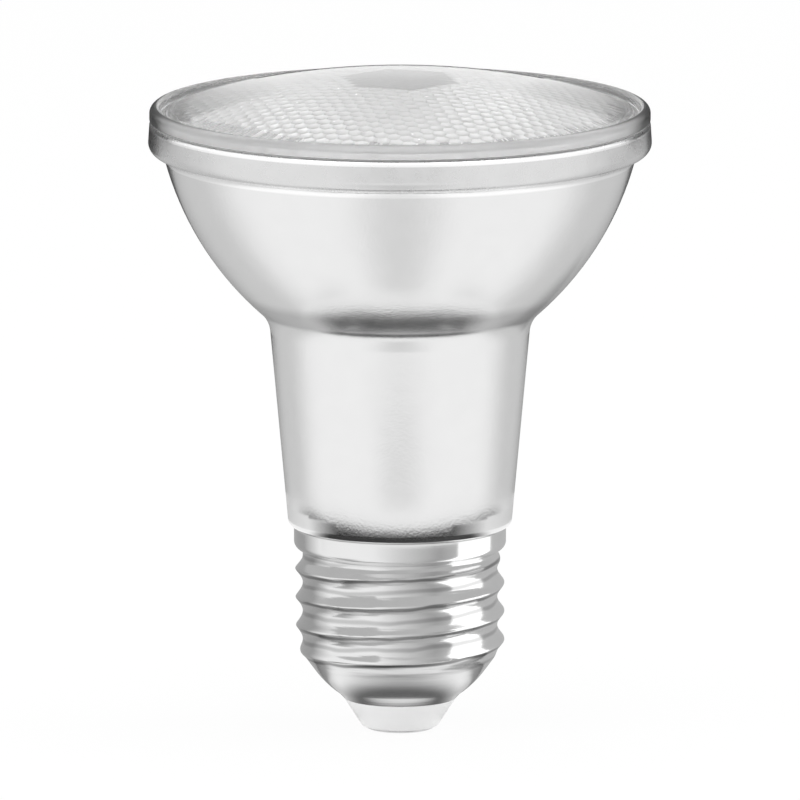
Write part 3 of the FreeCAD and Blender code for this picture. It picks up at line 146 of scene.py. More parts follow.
class Graph:
    """The node tree of one material, or of the world."""

    def __init__(self, owner: Union[bpy.types.Material, bpy.types.World]) -> None:
        """Empty the owner's tree.

        Args:
            owner: a new material or world.
        """
        self.owner = owner
        owner.use_nodes = True
        self.tree = owner.node_tree
        self.tree.nodes.clear()

    def add(self, kind: str, settings: Mapping[str, object],
            inputs: Mapping[Union[str, int], object]) -> bpy.types.Node:
        """Any node: its settings first, then its sockets.

        Args:
            kind: the node's type.
            settings: properties of the node.
            inputs: values or links of its sockets.

        Returns:
            The new node.
        """
        node = self.tree.nodes.new(kind)
        for key, value in settings.items():
            setattr(node, key, value)
        for key, value in inputs.items():
            if isinstance(value, Term):
                self.tree.links.new(value.socket, node.inputs[key])
            elif isinstance(value, tuple) and node.inputs[key].type == "RGBA":
                node.inputs[key].default_value = (*value, 1.0)
            else:
                node.inputs[key].default_value = value
        return node

    def term(self, kind: str, settings: Mapping[str, object], inputs: Mapping[Union[str, int], object],
             output: Union[str, int] = 0) -> Term:
        """One output of a new node."""
        return Term(self, self.add(kind, settings, inputs).outputs[output])

    def place(self) -> Term:
        """The surface point in metres."""
        return self.term("ShaderNodeTexCoord", {}, {}, "Object")

    def split(self, vector: Term) -> tuple[Term, ...]:
        """The three parts of a vector."""
        parts = self.add("ShaderNodeSeparateXYZ", {}, {0: vector}).outputs
        return tuple(Term(self, part) for part in parts)

    def noise(self, vector: Term, scale: float, detail: float = 2.0) -> Term:
        """Soft noise between 0 and 1, scale in waves to the metre."""
        return self.term("ShaderNodeTexNoise", {}, {"Vector": vector, "Scale": scale, "Detail": detail})

    def streaks(self, vector: Term, waves: Waves, detail: float) -> Term:
        """Soft noise with its own number of waves to the metre along each axis."""
        return self.noise(self.term("ShaderNodeMapping", {}, {"Vector": vector, "Scale": waves}), 1.0, detail)

    def mix(self, factor: Value, low: object, high: object) -> Term:
        """Colour between two colours or links."""
        return self.term("ShaderNodeMix", {"data_type": "RGBA"}, {0: factor, 6: low, 7: high}, 2)

    def bump(self, height: Term, depth: float, below: Union[Term, None] = None) -> Term:
        """Normal of a relief.

        Args:
            height: the relief between 0 and 1.
            depth: metres that 1 stands out.
            below: a normal that this relief lies on.

        Returns:
            The new normal.
        """
        inputs: dict[Union[str, int], object] = {"Height": height, "Distance": depth, "Strength": 1.0}
        if below is not None:
            inputs["Normal"] = below
        return self.term("ShaderNodeBump", {}, inputs)

    def finish(self, shader: str, inputs: Mapping[Union[str, int], object],
               output: str = "ShaderNodeOutputMaterial") -> Union[bpy.types.Material, bpy.types.World]:
        """Link a shader to the output.

        Args:
            shader: the shader's type.
            inputs: values or links of its sockets.
            output: the output's type.

        Returns:
            The material or world.
        """
        self.add(output, {}, {"Surface": self.term(shader, {}, inputs)})
        return self.owner


# Finishes


@dataclass(frozen=True)
class Ring:
    """A level ring of another tone: the heights between which it is full, and how far it fades, in mm."""

    low: float
    high: float
    low_soft: float
    high_soft: float
    grey: float = 1.0

    def mask(self, height: Term) -> Term:
        """How much of the ring lies at a height in metres."""
        return height.band((self.low - self.low_soft) * MM, self.low * MM, self.high * MM,
                           (self.high + self.high_soft) * MM)


@dataclass(frozen=True)
class Finish:
    """Even stuff with a mottled colour, an uneven gloss and a fine relief.

    Its parts take the material's nodes and the surface point in metres.
    """

    name: str
    colour: Colour
    roughness: float
    metallic: float = 0.0
    coat: float = 0.0
    mottle: float = 0.06
    mottle_scale: float = 400.0
    grain_scale: float = 4000.0
    grain_depth: float = 0.00001
    gloss_spread: float = 0.08

    def tinted(self, graph: Graph, place: Term) -> object:
        """The colour with darker and lighter clouds.

        Args:
            graph: the material's nodes.
            place: the surface point.

        Returns:
            A colour or a link.
        """
        dark = tuple(part * (1.0 - self.mottle) for part in self.colour)
        light = tuple(min(part * (1.0 + self.mottle), 1.0) for part in self.colour)
        return graph.mix(graph.noise(place, self.mottle_scale), dark, light)

    def relief(self, graph: Graph, place: Term) -> Term:
        """The normal of the fine grain."""
        return graph.bump(graph.noise(place, self.grain_scale), self.grain_depth)

    def shine(self, graph: Graph, place: Term) -> Term:
        """The uneven roughness."""
        return graph.noise(place, self.mottle_scale * 2.0) * self.gloss_spread + (
            self.roughness - self.gloss_spread / 2.0)

    def more(self) -> dict[str, float]:
        """Further sockets of the shader."""
        return {}

    def build(self) -> bpy.types.Material:
        """Make the material.

        Returns:
            The material.
        """
        graph = Graph(bpy.data.materials.new(self.name))
        place = graph.place()
        return graph.finish("ShaderNodeBsdfPrincipled", {
            "Base Color": self.tinted(graph, place),
            "Roughness": self.shine(graph, place),
            "Metallic": self.metallic,
            "Coat Weight": self.coat,
            "Normal": self.relief(graph, place),
            **self.more(),
        })


@dataclass(frozen=True)
class MirroredGlass(Finish):
    """Silvered pressed glass: a satin mirror under a smooth skin of glass, with level rings of painted shade
    and painted highlight.
    """

    metallic: float = 1.0
    coat_roughness: float = 0.05
    ripple_scale: float = 260.0
    ripple_depth: float = 0.00003
    painted_light_rings: tuple[Ring, ...] = ()

    def tinted(self, graph: Graph, place: Term) -> object:
        """The clouded silver with its rings of painted shade and painted highlight.

        Args:
            graph: the material's nodes.
            place: the surface point.

        Returns:
            A link.
        """
        tint = super().tinted(graph, place)
        height = graph.split(place)[2]
        for ring in self.painted_light_rings:
            tint = graph.mix(ring.mask(height), tint, grey(ring.grey))
        return tint

    def relief(self, graph: Graph, place: Term) -> Term:
        """The normal of the grain on the glass's slow ripple."""
        ripple = graph.bump(graph.noise(place, self.ripple_scale, 1.0), self.ripple_depth)
        return graph.bump(graph.noise(place, self.grain_scale, 1.0), self.grain_depth, ripple)

    def more(self) -> dict[str, float]:
        """The gloss of the glass skin."""
        return {"Coat Roughness": self.coat_roughness}


@dataclass(frozen=True)
class ClearGlass(Finish):
    """Pressed glass, polished or etched: an etched face is partly white.

    A face that turns away from the eye can carry painted shade, standing in for the dark edge of thick glass.
    """

    clear: float = 1.0
    bend: float = 1.5
    painted_rim_shade: float = 0.0
    painted_rim_grey: float = 0.03
    rim_from: float = 0.52
    rim_full: float = 0.78

    def tinted(self, graph: Graph, place: Term) -> object:
        """The plain colour, with painted shade at the rim.

        Args:
            graph: the material's nodes.
            place: the surface point; not used.

        Returns:
            A colour or a link.
        """
        if self.painted_rim_shade == 0.0:
            return self.colour
        # Painted shade: the colour darkens where the face turns away from the eye.
        facing = graph.term("ShaderNodeLayerWeight", {}, {"Blend": 0.5}, "Facing")
        return graph.mix(facing.step(self.rim_from, self.rim_full) * self.painted_rim_shade, self.colour,
                         grey(self.painted_rim_grey))

    def more(self) -> dict[str, float]:
        """How clear the glass is and how much it bends light."""
        return {"Transmission Weight": self.clear, "IOR": self.bend}


@dataclass(frozen=True)
class RolledMetal(Finish):
    """Bright plated sheet with waves and draw marks that run round the axis, and lines of painted shade along
    its thread.
    """

    metallic: float = 1.0
    marks: Waves = (60.0, 60.0, 9000.0)
    mark_depth: float = 0.000004
    waves: Waves = (90.0, 90.0, 420.0)
    wave_depth: float = 0.00003
    rolls: Waves = (150.0, 150.0, 1000.0)
    roll_depth: float = 0.0
    rolled: Ring = Ring(9.5, 22.4, 1.5, 0.9)
    pitch: float = 3.629
    phase: float = 18.745
    sways: Waves = (200.0, 200.0, 260.0)
    sway: float = 0.2
    crest_line: Corner = (0.80, 0.88, 0.93, 1.0)
    valley_line: Corner = (0.34, 0.44, 0.48, 0.58)
    valley_share: float = 0.5
    # Strength and grey of the painted shade lines along the thread.
    dull: float = 0.0
    painted_shade_grey: float = 0.12

    def marked(self, graph: Graph, place: Term) -> Term:
        """The draw marks, between 0 and 1."""
        return graph.streaks(place, self.marks, 3.0)

    def painted_thread_shade(self, graph: Graph, place: Term) -> Term:
        """Painted shade: wavy dark lines that follow the thread, one under its crest and a weaker one in its
        valley.

        Args:
            graph: the material's nodes.
            place: the surface point.

        Returns:
            How much painted shade lies there, between 0 and 1.
        """
        across, along, up = graph.split(place)
        turn = along.maths("ARCTAN2", across) * (0.5 / math.pi)
        cloud = graph.streaks(place, self.sways, 1.0) - 0.5
        climb = up * (1.0 / MM / self.pitch) - self.phase / self.pitch
        wave = (climb - turn + cloud * self.sway).maths("FRACT")
        lines = wave.band(*self.crest_line) + wave.band(*self.valley_line) * self.valley_share
        return lines * self.rolled.mask(up) * self.dull

    def tinted(self, graph: Graph, place: Term) -> object:
        """The clouded metal with its lines of painted shade."""
        return graph.mix(self.painted_thread_shade(graph, place), super().tinted(graph, place), grey(self.painted_shade_grey))

    def shine(self, graph: Graph, place: Term) -> Term:
        """The uneven roughness with the draw marks."""
        return super().shine(graph, place) + self.marked(graph, place) * self.gloss_spread

    def relief(self, graph: Graph, place: Term) -> Term:
        """The normal of the draw marks, which lie on rolling streaks, which lie on the sheet's waves.

        Args:
            graph: the material's nodes.
            place: the surface point.

        Returns:
            The normal.
        """
        waves = graph.bump(graph.streaks(place, self.waves, 1.0), self.wave_depth)
        rolls = graph.streaks(place, self.rolls, 1.5) * self.rolled.mask(graph.split(place)[2])
        rolls = graph.bump(rolls, self.roll_depth, waves)
        return graph.bump(self.marked(graph, place), self.mark_depth, rolls)


@dataclass(frozen=True)
class Winding(Finish):
    """Enamelled wire laid turn by turn along an axis: the relief is a sine of the place along it."""

    axis: int = 2
    turn: float = 0.0003
    depth: float = 0.3
    # Painted shade: share of the colour left between the turns.
    painted_valley_shade: float = 0.45

    def wave(self, graph: Graph, place: Term) -> Term:
        """How high the wire stands, between 0 and 1."""
        along = graph.split(place)[self.axis]
        return (along * (2.0 * math.pi / self.turn)).maths("SINE") * 0.5 + 0.5

    def tinted(self, graph: Graph, place: Term) -> object:
        """The enamel, with painted shade between the turns."""
        dark = tuple(part * self.painted_valley_shade for part in self.colour)
        return graph.mix(self.wave(graph, place), dark, self.colour)

    def relief(self, graph: Graph, place: Term) -> Term:
        """The normal of the turns."""
        return graph.bump(self.wave(graph, place), self.turn * self.depth)


@dataclass(frozen=True)
class LedPackage(Finish):
    """White package with a phosphor window: what faces up and lies under the package's top."""

    window: Colour = (0.86, 0.74, 0.36)
    window_height: float = 54.72
    edge: float = 0.04
    level_from: float = 0.8
    level_full: float = 0.9

    def tinted(self, graph: Graph, place: Term) -> object:
        """The white, or the window.

        Args:
            graph: the material's nodes.
            place: the surface point.

        Returns:
            A link.
        """
        normal = graph.term("ShaderNodeNewGeometry", {}, {}, "True Normal")
        level = graph.split(normal)[2].step(self.level_from, self.level_full)
        low = graph.split(place)[2].step((self.window_height + self.edge) * MM,
                                         (self.window_height - self.edge) * MM)
        return graph.mix(level * low, super().tinted(graph, place), self.window)


@dataclass(frozen=True)
class PrintedBoard(Finish):
    """Board whose tracks, the borders between square cells, show through its lacquer."""

    track: Colour = (0.7, 0.7, 0.66)
    track_scale: float = 260.0
    track_depth: float = 0.00004
    track_from: float = 0.34
    track_full: float = 0.38
    wander: float = 0.7

    def tracks(self, graph: Graph, place: Term) -> Term:
        """Where a track runs.

        Args:
            graph: the material's nodes.
            place: the surface point.

        Returns:
            1 on a track, 0 beside it.
        """
        cells = {"Vector": place, "Scale": self.track_scale, "Randomness": self.wander}
        way = graph.term("ShaderNodeTexVoronoi", {"distance": "CHEBYCHEV"}, cells, "Distance")
        return way.step(self.track_from, self.track_full)

    def tinted(self, graph: Graph, place: Term) -> object:
        """The lacquer with its tracks."""
        return graph.mix(self.tracks(graph, place), super().tinted(graph, place), self.track)

    def relief(self, graph: Graph, place: Term) -> Term:
        """The normal of the tracks on the grain."""
        return graph.bump(self.tracks(graph, place), self.track_depth, super().relief(graph, place))


@dataclass(frozen=True)
class BandedSleeve(Finish):
    """Sleeve or lacquer with bands of another colour, each between two places along one axis."""

    band: Colour = (0.75, 0.75, 0.72)
    axis: int = 2
    bands: tuple[Spot, ...] = ()
    edge: float = 0.03

    def tinted(self, graph: Graph, place: Term) -> object:
        """The colour with its bands.

        Args:
            graph: the material's nodes.
            place: the surface point.

        Returns:
            A link.
        """
        along = graph.split(place)[self.axis] / MM
        mask: Value = 0.0
        for low, high in self.bands:
            mask = along.band(low - self.edge, low + self.edge, high - self.edge, high + self.edge) + mask
        return graph.mix(mask, super().tinted(graph, place), self.band)


# Shapes worked out as arrays


@dataclass
class Shape:
    """Points in millimetres, with faces of three or four corners."""

    points: np.ndarray
    faces: list[np.ndarray]

    def volume(self) -> float:
        """Signed volume: the sum over triangles of a corner times the cross product of the others.

        Returns:
            Cubic millimetres, negative where the faces point in.
        """
        total = 0.0
        for block in self.faces:
            for second in range(1, block.shape[1] - 1):
                first, middle, last = (self.points[block[:, side]] for side in (0, second, second + 1))
                total += float(np.einsum("ij,ij->", first, np.cross(middle, last))) / 6.0
        return total

    def outward(self) -> "Shape":
        """Turn the faces out if they point in.

        Returns:
            The shape.
        """
        if self.volume() < 0:
            self.faces = [block[:, ::-1] for block in self.faces]
        return self


def arc_centre(start: np.ndarray, end: np.ndarray, radius: float) -> np.ndarray:
    """Centre of the short arc between two points.

    It lies on the chord's middle line, left of the way for a positive radius.

    Args:
        start: first point.
        end: last point.
        radius: positive turns left along the way, negative right.

    Returns:
        The centre.
    """
    chord = end - start
    length = float(np.hypot(*chord))
    left = np.array([-chord[1], chord[0]]) / length
    rise = math.sqrt(max(radius * radius - length * length / 4.0, 0.0))
    return (start + end) / 2.0 + left * math.copysign(rise, radius)


def arc(start: np.ndarray, end: np.ndarray, radius: float, step: float) -> np.ndarray:
    """Points of the short arc from start up to, not with, end.

    They are the centre plus the radius turned evenly from the start's angle to the end's.

    Args:
        start: first point.
        end: last point, left out.
        radius: positive turns left along the way, negative right.
        step: greatest turn between two points, in degrees.

    Returns:
        The points, one a row.
    """
    centre = arc_centre(start, end, radius)
    first = math.atan2(*(start - centre)[::-1])
    half_chord = float(np.hypot(*(end - start))) / 2.0
    sweep = 2.0 * math.asin(min(half_chord / abs(radius), 1.0)) * math.copysign(1.0, radius)
    count = max(int(math.ceil(abs(math.degrees(sweep)) / step)), 2)
    angles = first + sweep * np.arange(count) / count
    return centre + abs(radius) * np.stack([np.cos(angles), np.sin(angles)], axis=1)


def outline(corners: Sequence[Corner], closed: bool, step: float = 4.0) -> np.ndarray:
    """Points along straight sides and arcs.

    Args:
        corners: radius, height and, where the side that leaves the corner is an arc, its radius.
        closed: the last corner joins the first.
        step: greatest turn between two points of an arc, in degrees.

    Returns:
        Radius and height, one point a row.
    """
    rows = []
    for index, corner in enumerate(corners):
        start = np.array(corner[:2])
        if index == len(corners) - 1 and not closed:
            rows.append(start[None, :])
            break
        end = np.array(corners[(index + 1) % len(corners)][:2])
        rows.append(arc(start, end, corner[2], step) if len(corner) == 3 else start[None, :])
    return np.concatenate(rows)


def ring_grid(radius: np.ndarray, height: np.ndarray) -> tuple[np.ndarray, np.ndarray, np.ndarray]:
    """Points of a section carried round the axis.

    A point is (radius times the cosine of the turn, radius times its sine, height).

    Args:
        radius: one row for each turn, one column for each point of the section.
        height: the same.

    Returns:
        The points, their numbers, and the numbers one turn on.
    """
    turns, rows = radius.shape
    angle = 2.0 * np.pi * np.arange(turns)[:, None] / turns
    grid = np.stack([radius * np.cos(angle), radius * np.sin(angle), height], axis=2)
    index = np.arange(turns * rows).reshape(turns, rows)
    return grid.reshape(-1, 3), index, np.roll(index, -1, axis=0)


def squares(index: np.ndarray, after: np.ndarray) -> np.ndarray:
    """Faces of four corners between neighbouring points of a grid."""
    return np.stack([index[:, :-1], index[:, 1:], after[:, 1:], after[:, :-1]], axis=2).reshape(-1, 4)


def swept(radius: np.ndarray, height: np.ndarray) -> Shape:
    """Closed section, which may change as it goes round, carried round the axis.

    Args:
        radius: one row for each turn, one column for each point of the section.
        height: the same.

    Returns:
        The closed shape.
    """
    points, index, after = ring_grid(radius, height)
    index = np.concatenate([index, index[:, :1]], axis=1)
    after = np.concatenate([after, after[:, :1]], axis=1)
    return Shape(points, [squares(index, after)]).outward()


def spread(values: np.ndarray, turns: int) -> np.ndarray:
    """The same row for each turn."""
    return np.broadcast_to(values, (turns, len(values)))


def turned(corners: Sequence[Corner], turns: int, step: float = 4.0) -> Shape:
    """Closed outline turned about the axis."""
    line = outline(corners, True, step)
    return swept(spread(line[:, 0], turns), spread(line[:, 1], turns))


def capped(line: np.ndarray, turns: int) -> Shape:
    """Line turned about the axis, where it starts: its first point is one point of the shape.

    Args:
        line: radius and height, one point a row.
        turns: steps round the axis.

    Returns:
        Points, with the squares first and the triangles round the first point second.
    """
    points, index, after = ring_grid(spread(line[1:, 0], turns), spread(line[1:, 1], turns))
    tip = len(points)
    points = np.concatenate([points, [[0.0, 0.0, line[0, 1]]]])
    tips = np.stack([np.full(turns, tip), index[:, 0], after[:, 0]], axis=1)
    return Shape(points, [squares(index, after), tips])


def solid_turned(line: np.ndarray, turns: int) -> Shape:
    """Line that starts and ends on the axis, turned about it.

    Args:
        line: radius and height, one point a row.
        turns: steps round the axis.

    Returns:
        The closed shape.
    """
    shape = capped(line[:-1], turns)
    rows = len(line) - 2
    rim = np.arange(turns) * rows + rows - 1
    foot = len(shape.points)
    shape.points = np.concatenate([shape.points, [[0.0, 0.0, line[-1, 1]]]])
    shape.faces.append(np.stack([np.full(turns, foot), np.roll(rim, -1), rim], axis=1))
    return shape.outward()


def strip(first: np.ndarray, first_turn: np.ndarray, second: np.ndarray,
          second_turn: np.ndarray) -> np.ndarray:
    """Triangles between two closed loops round the axis, with any number of points each.

    Each side of a loop gets a triangle whose tip is the last point of the other loop that has
    been passed when that side ends.

    Args:
        first: point numbers of the outer loop.
        first_turn: their rising angles.
        second: point numbers of the inner loop.
        second_turn: their rising angles.

    Returns:
        Point numbers, three a row.
    """
    whole = 2.0 * np.pi

    def fan(loop: np.ndarray, ends: np.ndarray, other: np.ndarray, passed: np.ndarray,
            side: str) -> np.ndarray:
        """Triangles on one loop's sides, with their tips on the other."""
        tips = np.searchsorted(np.concatenate([passed, passed + whole, passed + 2 * whole]),
                               ends + whole, side=side) - 1
        return np.stack([loop, np.roll(loop, -1), other[tips % len(other)]], axis=1)

    first_ends = np.append(first_turn[1:], first_turn[0] + whole)
    second_ends = np.append(second_turn[1:], second_turn[0] + whole)
    outer = fan(first, first_ends, second, second_turn, "left")
    inner = fan(second, second_ends, first, first_turn, "right")
    return np.concatenate([outer, inner[:, ::-1]])


class Piece:
    """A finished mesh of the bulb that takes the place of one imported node."""

    def __init__(self, node: str, slot: str, shape: Shape, materials: Sequence[bpy.types.Material],
                 marks: Union[np.ndarray, None] = None, crease: float = 35.0) -> None:
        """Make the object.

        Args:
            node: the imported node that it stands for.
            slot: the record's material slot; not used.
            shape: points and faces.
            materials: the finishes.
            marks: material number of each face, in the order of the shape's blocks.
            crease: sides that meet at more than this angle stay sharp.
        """
        mesh = bpy.data.meshes.new("fine_" + node)
        corners = np.concatenate([block.ravel() for block in shape.faces]).astype(np.int32)
        counts = np.concatenate([np.full(len(block), block.shape[1]) for block in shape.faces])
        starts = np.concatenate([[0], np.cumsum(counts)[:-1]]).astype(np.int32)
        mesh.vertices.add(len(shape.points))
        mesh.vertices.foreach_set("co", (shape.points * MM).astype(np.float32).ravel())
        mesh.loops.add(len(corners))
        mesh.loops.foreach_set("vertex_index", corners)
        mesh.polygons.add(len(counts))
        mesh.polygons.foreach_set("loop_start", starts)
        for material in materials:
            mesh.materials.append(material)
        if marks is not None:
            mesh.polygons.foreach_set("material_index", marks.astype(np.int32))
        mesh.update(calc_edges=True)
        mesh.shade_smooth()
        mesh.set_sharp_from_angle(angle=math.radians(crease))
        self.object = linked(mesh.name, mesh)
        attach(self.object, BODY)
        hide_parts(node)
        LOG.info("%s: %d faces", node, len(counts))


# Glass


@dataclass
class FrontLens:
    """Pressed lens: smooth dome, bead, groove, lip and flange outside, honeycomb inside."""

    apex: float = 83.7
    sphere: float = 100.0
    dome_edge: float = 28.9
    bead: float = 29.6
    bead_drop: float = 0.75
    moat_floor: float = 78.65
    lip_inner: float = 30.3
    lip_height: float = 79.8
    lip_crest: float = 30.75
    lip_inner_round: float = 0.5
    lip_outer_round: float = 0.95
    flange: float = 31.6
    moat_round: float = 0.25
    lip_foot_round: float = 0.2
    flange_foot_round: float = 0.15
    wall: float = 2.5
    seam: float = 78.0
    spigot: float = 28.7
    spigot_foot: float = 76.9
    spigot_lead: float = 0.35
    pitch: float = 1.66
    relief: float = 0.32
    field: float = 27.3
    turn: float = 42.0
    plain_rings: int = 4
    margin: float = 0.65
    split: int = 3
    dome_rows: int = 27
    least_turn: float = 0.000001
    turns: int = 240

    def outside(self) -> np.ndarray:
        """Outline of the outer face, from the apex down to the foot of the locating ring.

        Returns:
            Radius and height, one point a row.
        """
        edge = self.apex - self.sphere + math.sqrt(self.sphere ** 2 - self.dome_edge ** 2)
        corners = [
            (self.dome_edge, edge, -self.bead_drop),
            (self.bead, edge - self.bead_drop),
            (self.bead, self.moat_floor + self.moat_round, self.moat_round),
            (self.bead + self.moat_round, self.moat_floor),
            (self.lip_inner - self.lip_foot_round, self.moat_floor, self.lip_foot_round),
            (self.lip_inner, self.moat_floor + self.lip_foot_round),
            (self.lip_inner, self.lip_height - self.lip_inner_round, -self.lip_inner_round),
            (self.lip_crest, self.lip_height, -self.lip_outer_round),
            (self.flange, self.lip_height - self.lip_outer_round),
            (self.flange, self.seam + self.flange_foot_round, -self.flange_foot_round),
            (self.flange - self.flange_foot_round, self.seam),
            (self.spigot, self.seam),
            (self.spigot, self.spigot_foot + self.spigot_lead),
            (self.spigot - self.spigot_lead, self.spigot_foot),
            (self.field + self.margin, self.spigot_foot),
        ]
        dome = np.linspace(0.0, self.dome_edge, self.dome_rows + 1)[:-1]
        sphere = np.stack([dome, self.apex - self.sphere + np.sqrt(self.sphere ** 2 - dome ** 2)], axis=1)
        return np.concatenate([sphere, outline(corners, False, 6.0)])

    def cell_of(self, points: np.ndarray) -> tuple[np.ndarray, np.ndarray]:
        """Nearest cell of each point: cube rounding on the lattice of hexagons.

        Args:
            points: places in the lattice's own directions, two columns.

        Returns:
            The cell's number along a row and the row's number.
        """
        up = points[:, 1] / (self.pitch * math.sqrt(3.0) / 2.0)
        along = points[:, 0] / self.pitch - up / 2.0
        third = -along - up
        near = [np.rint(along), np.rint(up), np.rint(third)]
        miss = [np.abs(near[0] - along), np.abs(near[1] - up), np.abs(near[2] - third)]
        fix_along = (miss[0] > miss[1]) & (miss[0] > miss[2])
        fix_up = ~fix_along & (miss[1] > miss[2])
        near_along = np.where(fix_along, -near[1] - near[2], near[0])
        near_up = np.where(fix_up, -near[0] - near[2], near[1])
        return near_along, near_up

    def centre_of(self, along: np.ndarray, up: np.ndarray) -> np.ndarray:
        """Centre of a cell in the lattice's own directions."""
        return np.stack([self.pitch * (along + up / 2.0), self.pitch * math.sqrt(3.0) / 2.0 * up], axis=1)

    def bumps(self, points: np.ndarray) -> np.ndarray:
        """Relief at each point: one less the square of the way to the nearest lenslet's middle.

        Args:
            points: places in the lattice's own directions.

        Returns:
            Millimetres that the glass stands out of the inner sphere.
        """
        reach = self.pitch / math.sqrt(3.0)
        along, up = self.cell_of(points)
        best = np.zeros(len(points))
        for step_along, step_up in ((0, 0), (1, 0), (0, 1), (-1, 1), (-1, 0), (0, -1), (1, -1)):
            cell_along, cell_up = along + step_along, up + step_up
            ring = np.maximum.reduce([np.abs(cell_along), np.abs(cell_up), np.abs(cell_along + cell_up)])
            centre = self.centre_of(cell_along, cell_up)
            way = np.hypot(*(points - centre).T) / reach
            real = (ring > self.plain_rings) & (np.hypot(*centre.T) <= self.field - reach)
            best = np.maximum(best, np.where(real, 1.0 - way ** 2, 0.0))
        return best * self.relief

    def mat(self) -> tuple[np.ndarray, np.ndarray, np.ndarray]:
        """The honeycomb: points of a fine triangle lattice that is cut along whole cells.

        Returns:
            Points in millimetres, triangles, and whether each triangle lies in the plain middle.
        """
        reach = self.pitch / math.sqrt(3.0)
        fine = reach / self.split
        count = int(self.field / fine) + 4
        number_up, number_along = np.meshgrid(np.arange(-count, count + 1),
                                              np.arange(-2 * count, 2 * count + 1), indexing="ij")
        # The corners of a cell lie straight above and below its middle
        flat = np.stack([fine * math.sqrt(3.0) / 2.0 * number_up.ravel(),
                         fine * (number_along.ravel() + number_up.ravel() / 2.0)], axis=1)
        index = np.arange(flat.shape[0]).reshape(number_up.shape)
        lower = np.stack([index[:-1, :-1], index[:-1, 1:], index[1:, :-1]], axis=2).reshape(-1, 3)
        upper = np.stack([index[1:, 1:], index[1:, :-1], index[:-1, 1:]], axis=2).reshape(-1, 3)
        triangles = np.concatenate([lower, upper])
        along, up = self.cell_of(flat[triangles].mean(axis=1))
        keep = np.hypot(*self.centre_of(along, up).T) <= self.field - reach
        triangles = triangles[keep]
        plain = np.maximum.reduce([np.abs(along), np.abs(up), np.abs(along + up)])[keep] <= self.plain_rings
        used, triangles = np.unique(triangles, return_inverse=True)
        triangles = triangles.reshape(-1, 3)
        flat = flat[used]
        radius = np.hypot(*flat.T)
        inner = self.sphere - self.wall
        height = self.apex - self.wall - inner + np.sqrt(inner ** 2 - radius ** 2) - self.bumps(flat)
        turn = math.radians(self.turn)
        spin = np.array([[math.cos(turn), math.sin(turn)], [-math.sin(turn), math.cos(turn)]])
        return np.column_stack([flat @ spin, height]), triangles, plain

    @staticmethod
    def border(triangles: np.ndarray) -> np.ndarray:
        """The border of a mat of triangles, in order.

        Sides that only one triangle uses say which point follows which. The walk doubles: the
        points so far, moved on by their own number, are the points that come next.

        Args:
            triangles: point numbers.

        Returns:
            Point numbers round the border.
        """
        sides = np.concatenate([triangles[:, [0, 1]], triangles[:, [1, 2]], triangles[:, [2, 0]]])
        size = int(triangles.max()) + 1
        codes = sides[:, 0] * size + sides[:, 1]
        back = sides[:, 1] * size + sides[:, 0]
        open_sides = sides[~np.isin(codes, back)]
        follow = np.arange(size)
        follow[open_sides[:, 0]] = open_sides[:, 1]
        walk = open_sides[:1, 0]
        while len(walk) < len(open_sides):
            walk = np.concatenate([walk, follow[walk]])
            follow = follow[follow]
        return walk[:len(open_sides)]

    def build(self, clear: bpy.types.Material, frosted: bpy.types.Material,
              etched: bpy.types.Material, matt: bpy.types.Material) -> Piece:
        """Join the faces into one closed piece of glass.

        Args:
            clear: finish of the outer face.
            frosted: finish of the flange and the locating ring.
            etched: finish of the honeycomb.
            matt: finish of its plain middle.

        Returns:
            The lens.
        """
        line = self.outside()
        face = capped(line, self.turns)
        points, triangles, plain = self.mat()
        if np.cross(*(points[triangles[0]][1:] - points[triangles[0]][0]))[2] > 0:
            triangles = triangles[:, ::-1]
        walk = self.border(triangles)
        turn = np.unwrap(np.arctan2(points[walk, 1], points[walk, 0]))
        if turn[-1] < turn[0]:
            walk, turn = walk[::-1], turn[::-1]
        nudge = np.arange(len(walk)) * self.least_turn
        turn = np.maximum.accumulate(turn - nudge) + nudge
        offset = len(face.points)
        rows = (offset - 1) // self.turns
        foot = np.arange(self.turns) * rows + rows - 1
        before = math.ceil(turn[0] / (2.0 * np.pi) - 1.0)
        foot_turn = 2.0 * np.pi * (np.arange(self.turns) / self.turns + before)
        ring = strip(foot, foot_turn, walk + offset, turn)
        shape = Shape(np.concatenate([face.points, points]), [*face.faces, triangles + offset, ring])
        flat = shape.points[ring]
        cross = np.cross(flat[:, 1] - flat[:, 0], flat[:, 2] - flat[:, 0])[:, 2]
        shape.faces[3] = np.where((cross > 0)[:, None], ring[:, ::-1], ring)
        # Finish 0 is clear, 1 frosted, 2 etched and 3 matt
        marks = np.repeat([0, 0, 2, 1], [len(block) for block in shape.faces])
        sides = marks[:len(face.faces[0])].reshape(self.turns, rows - 1)
        middle = line[1:-1, 0] + np.diff(line[1:, 0]) / 2.0
        sides[:, middle >= self.lip_crest] = 1
        cells = marks[len(face.faces[0]) + self.turns:][:len(plain)]
        cells[plain] = 3
        return Piece("front_lens", "lens_glass", shape.outward(), [clear, frosted, etched, matt], marks)


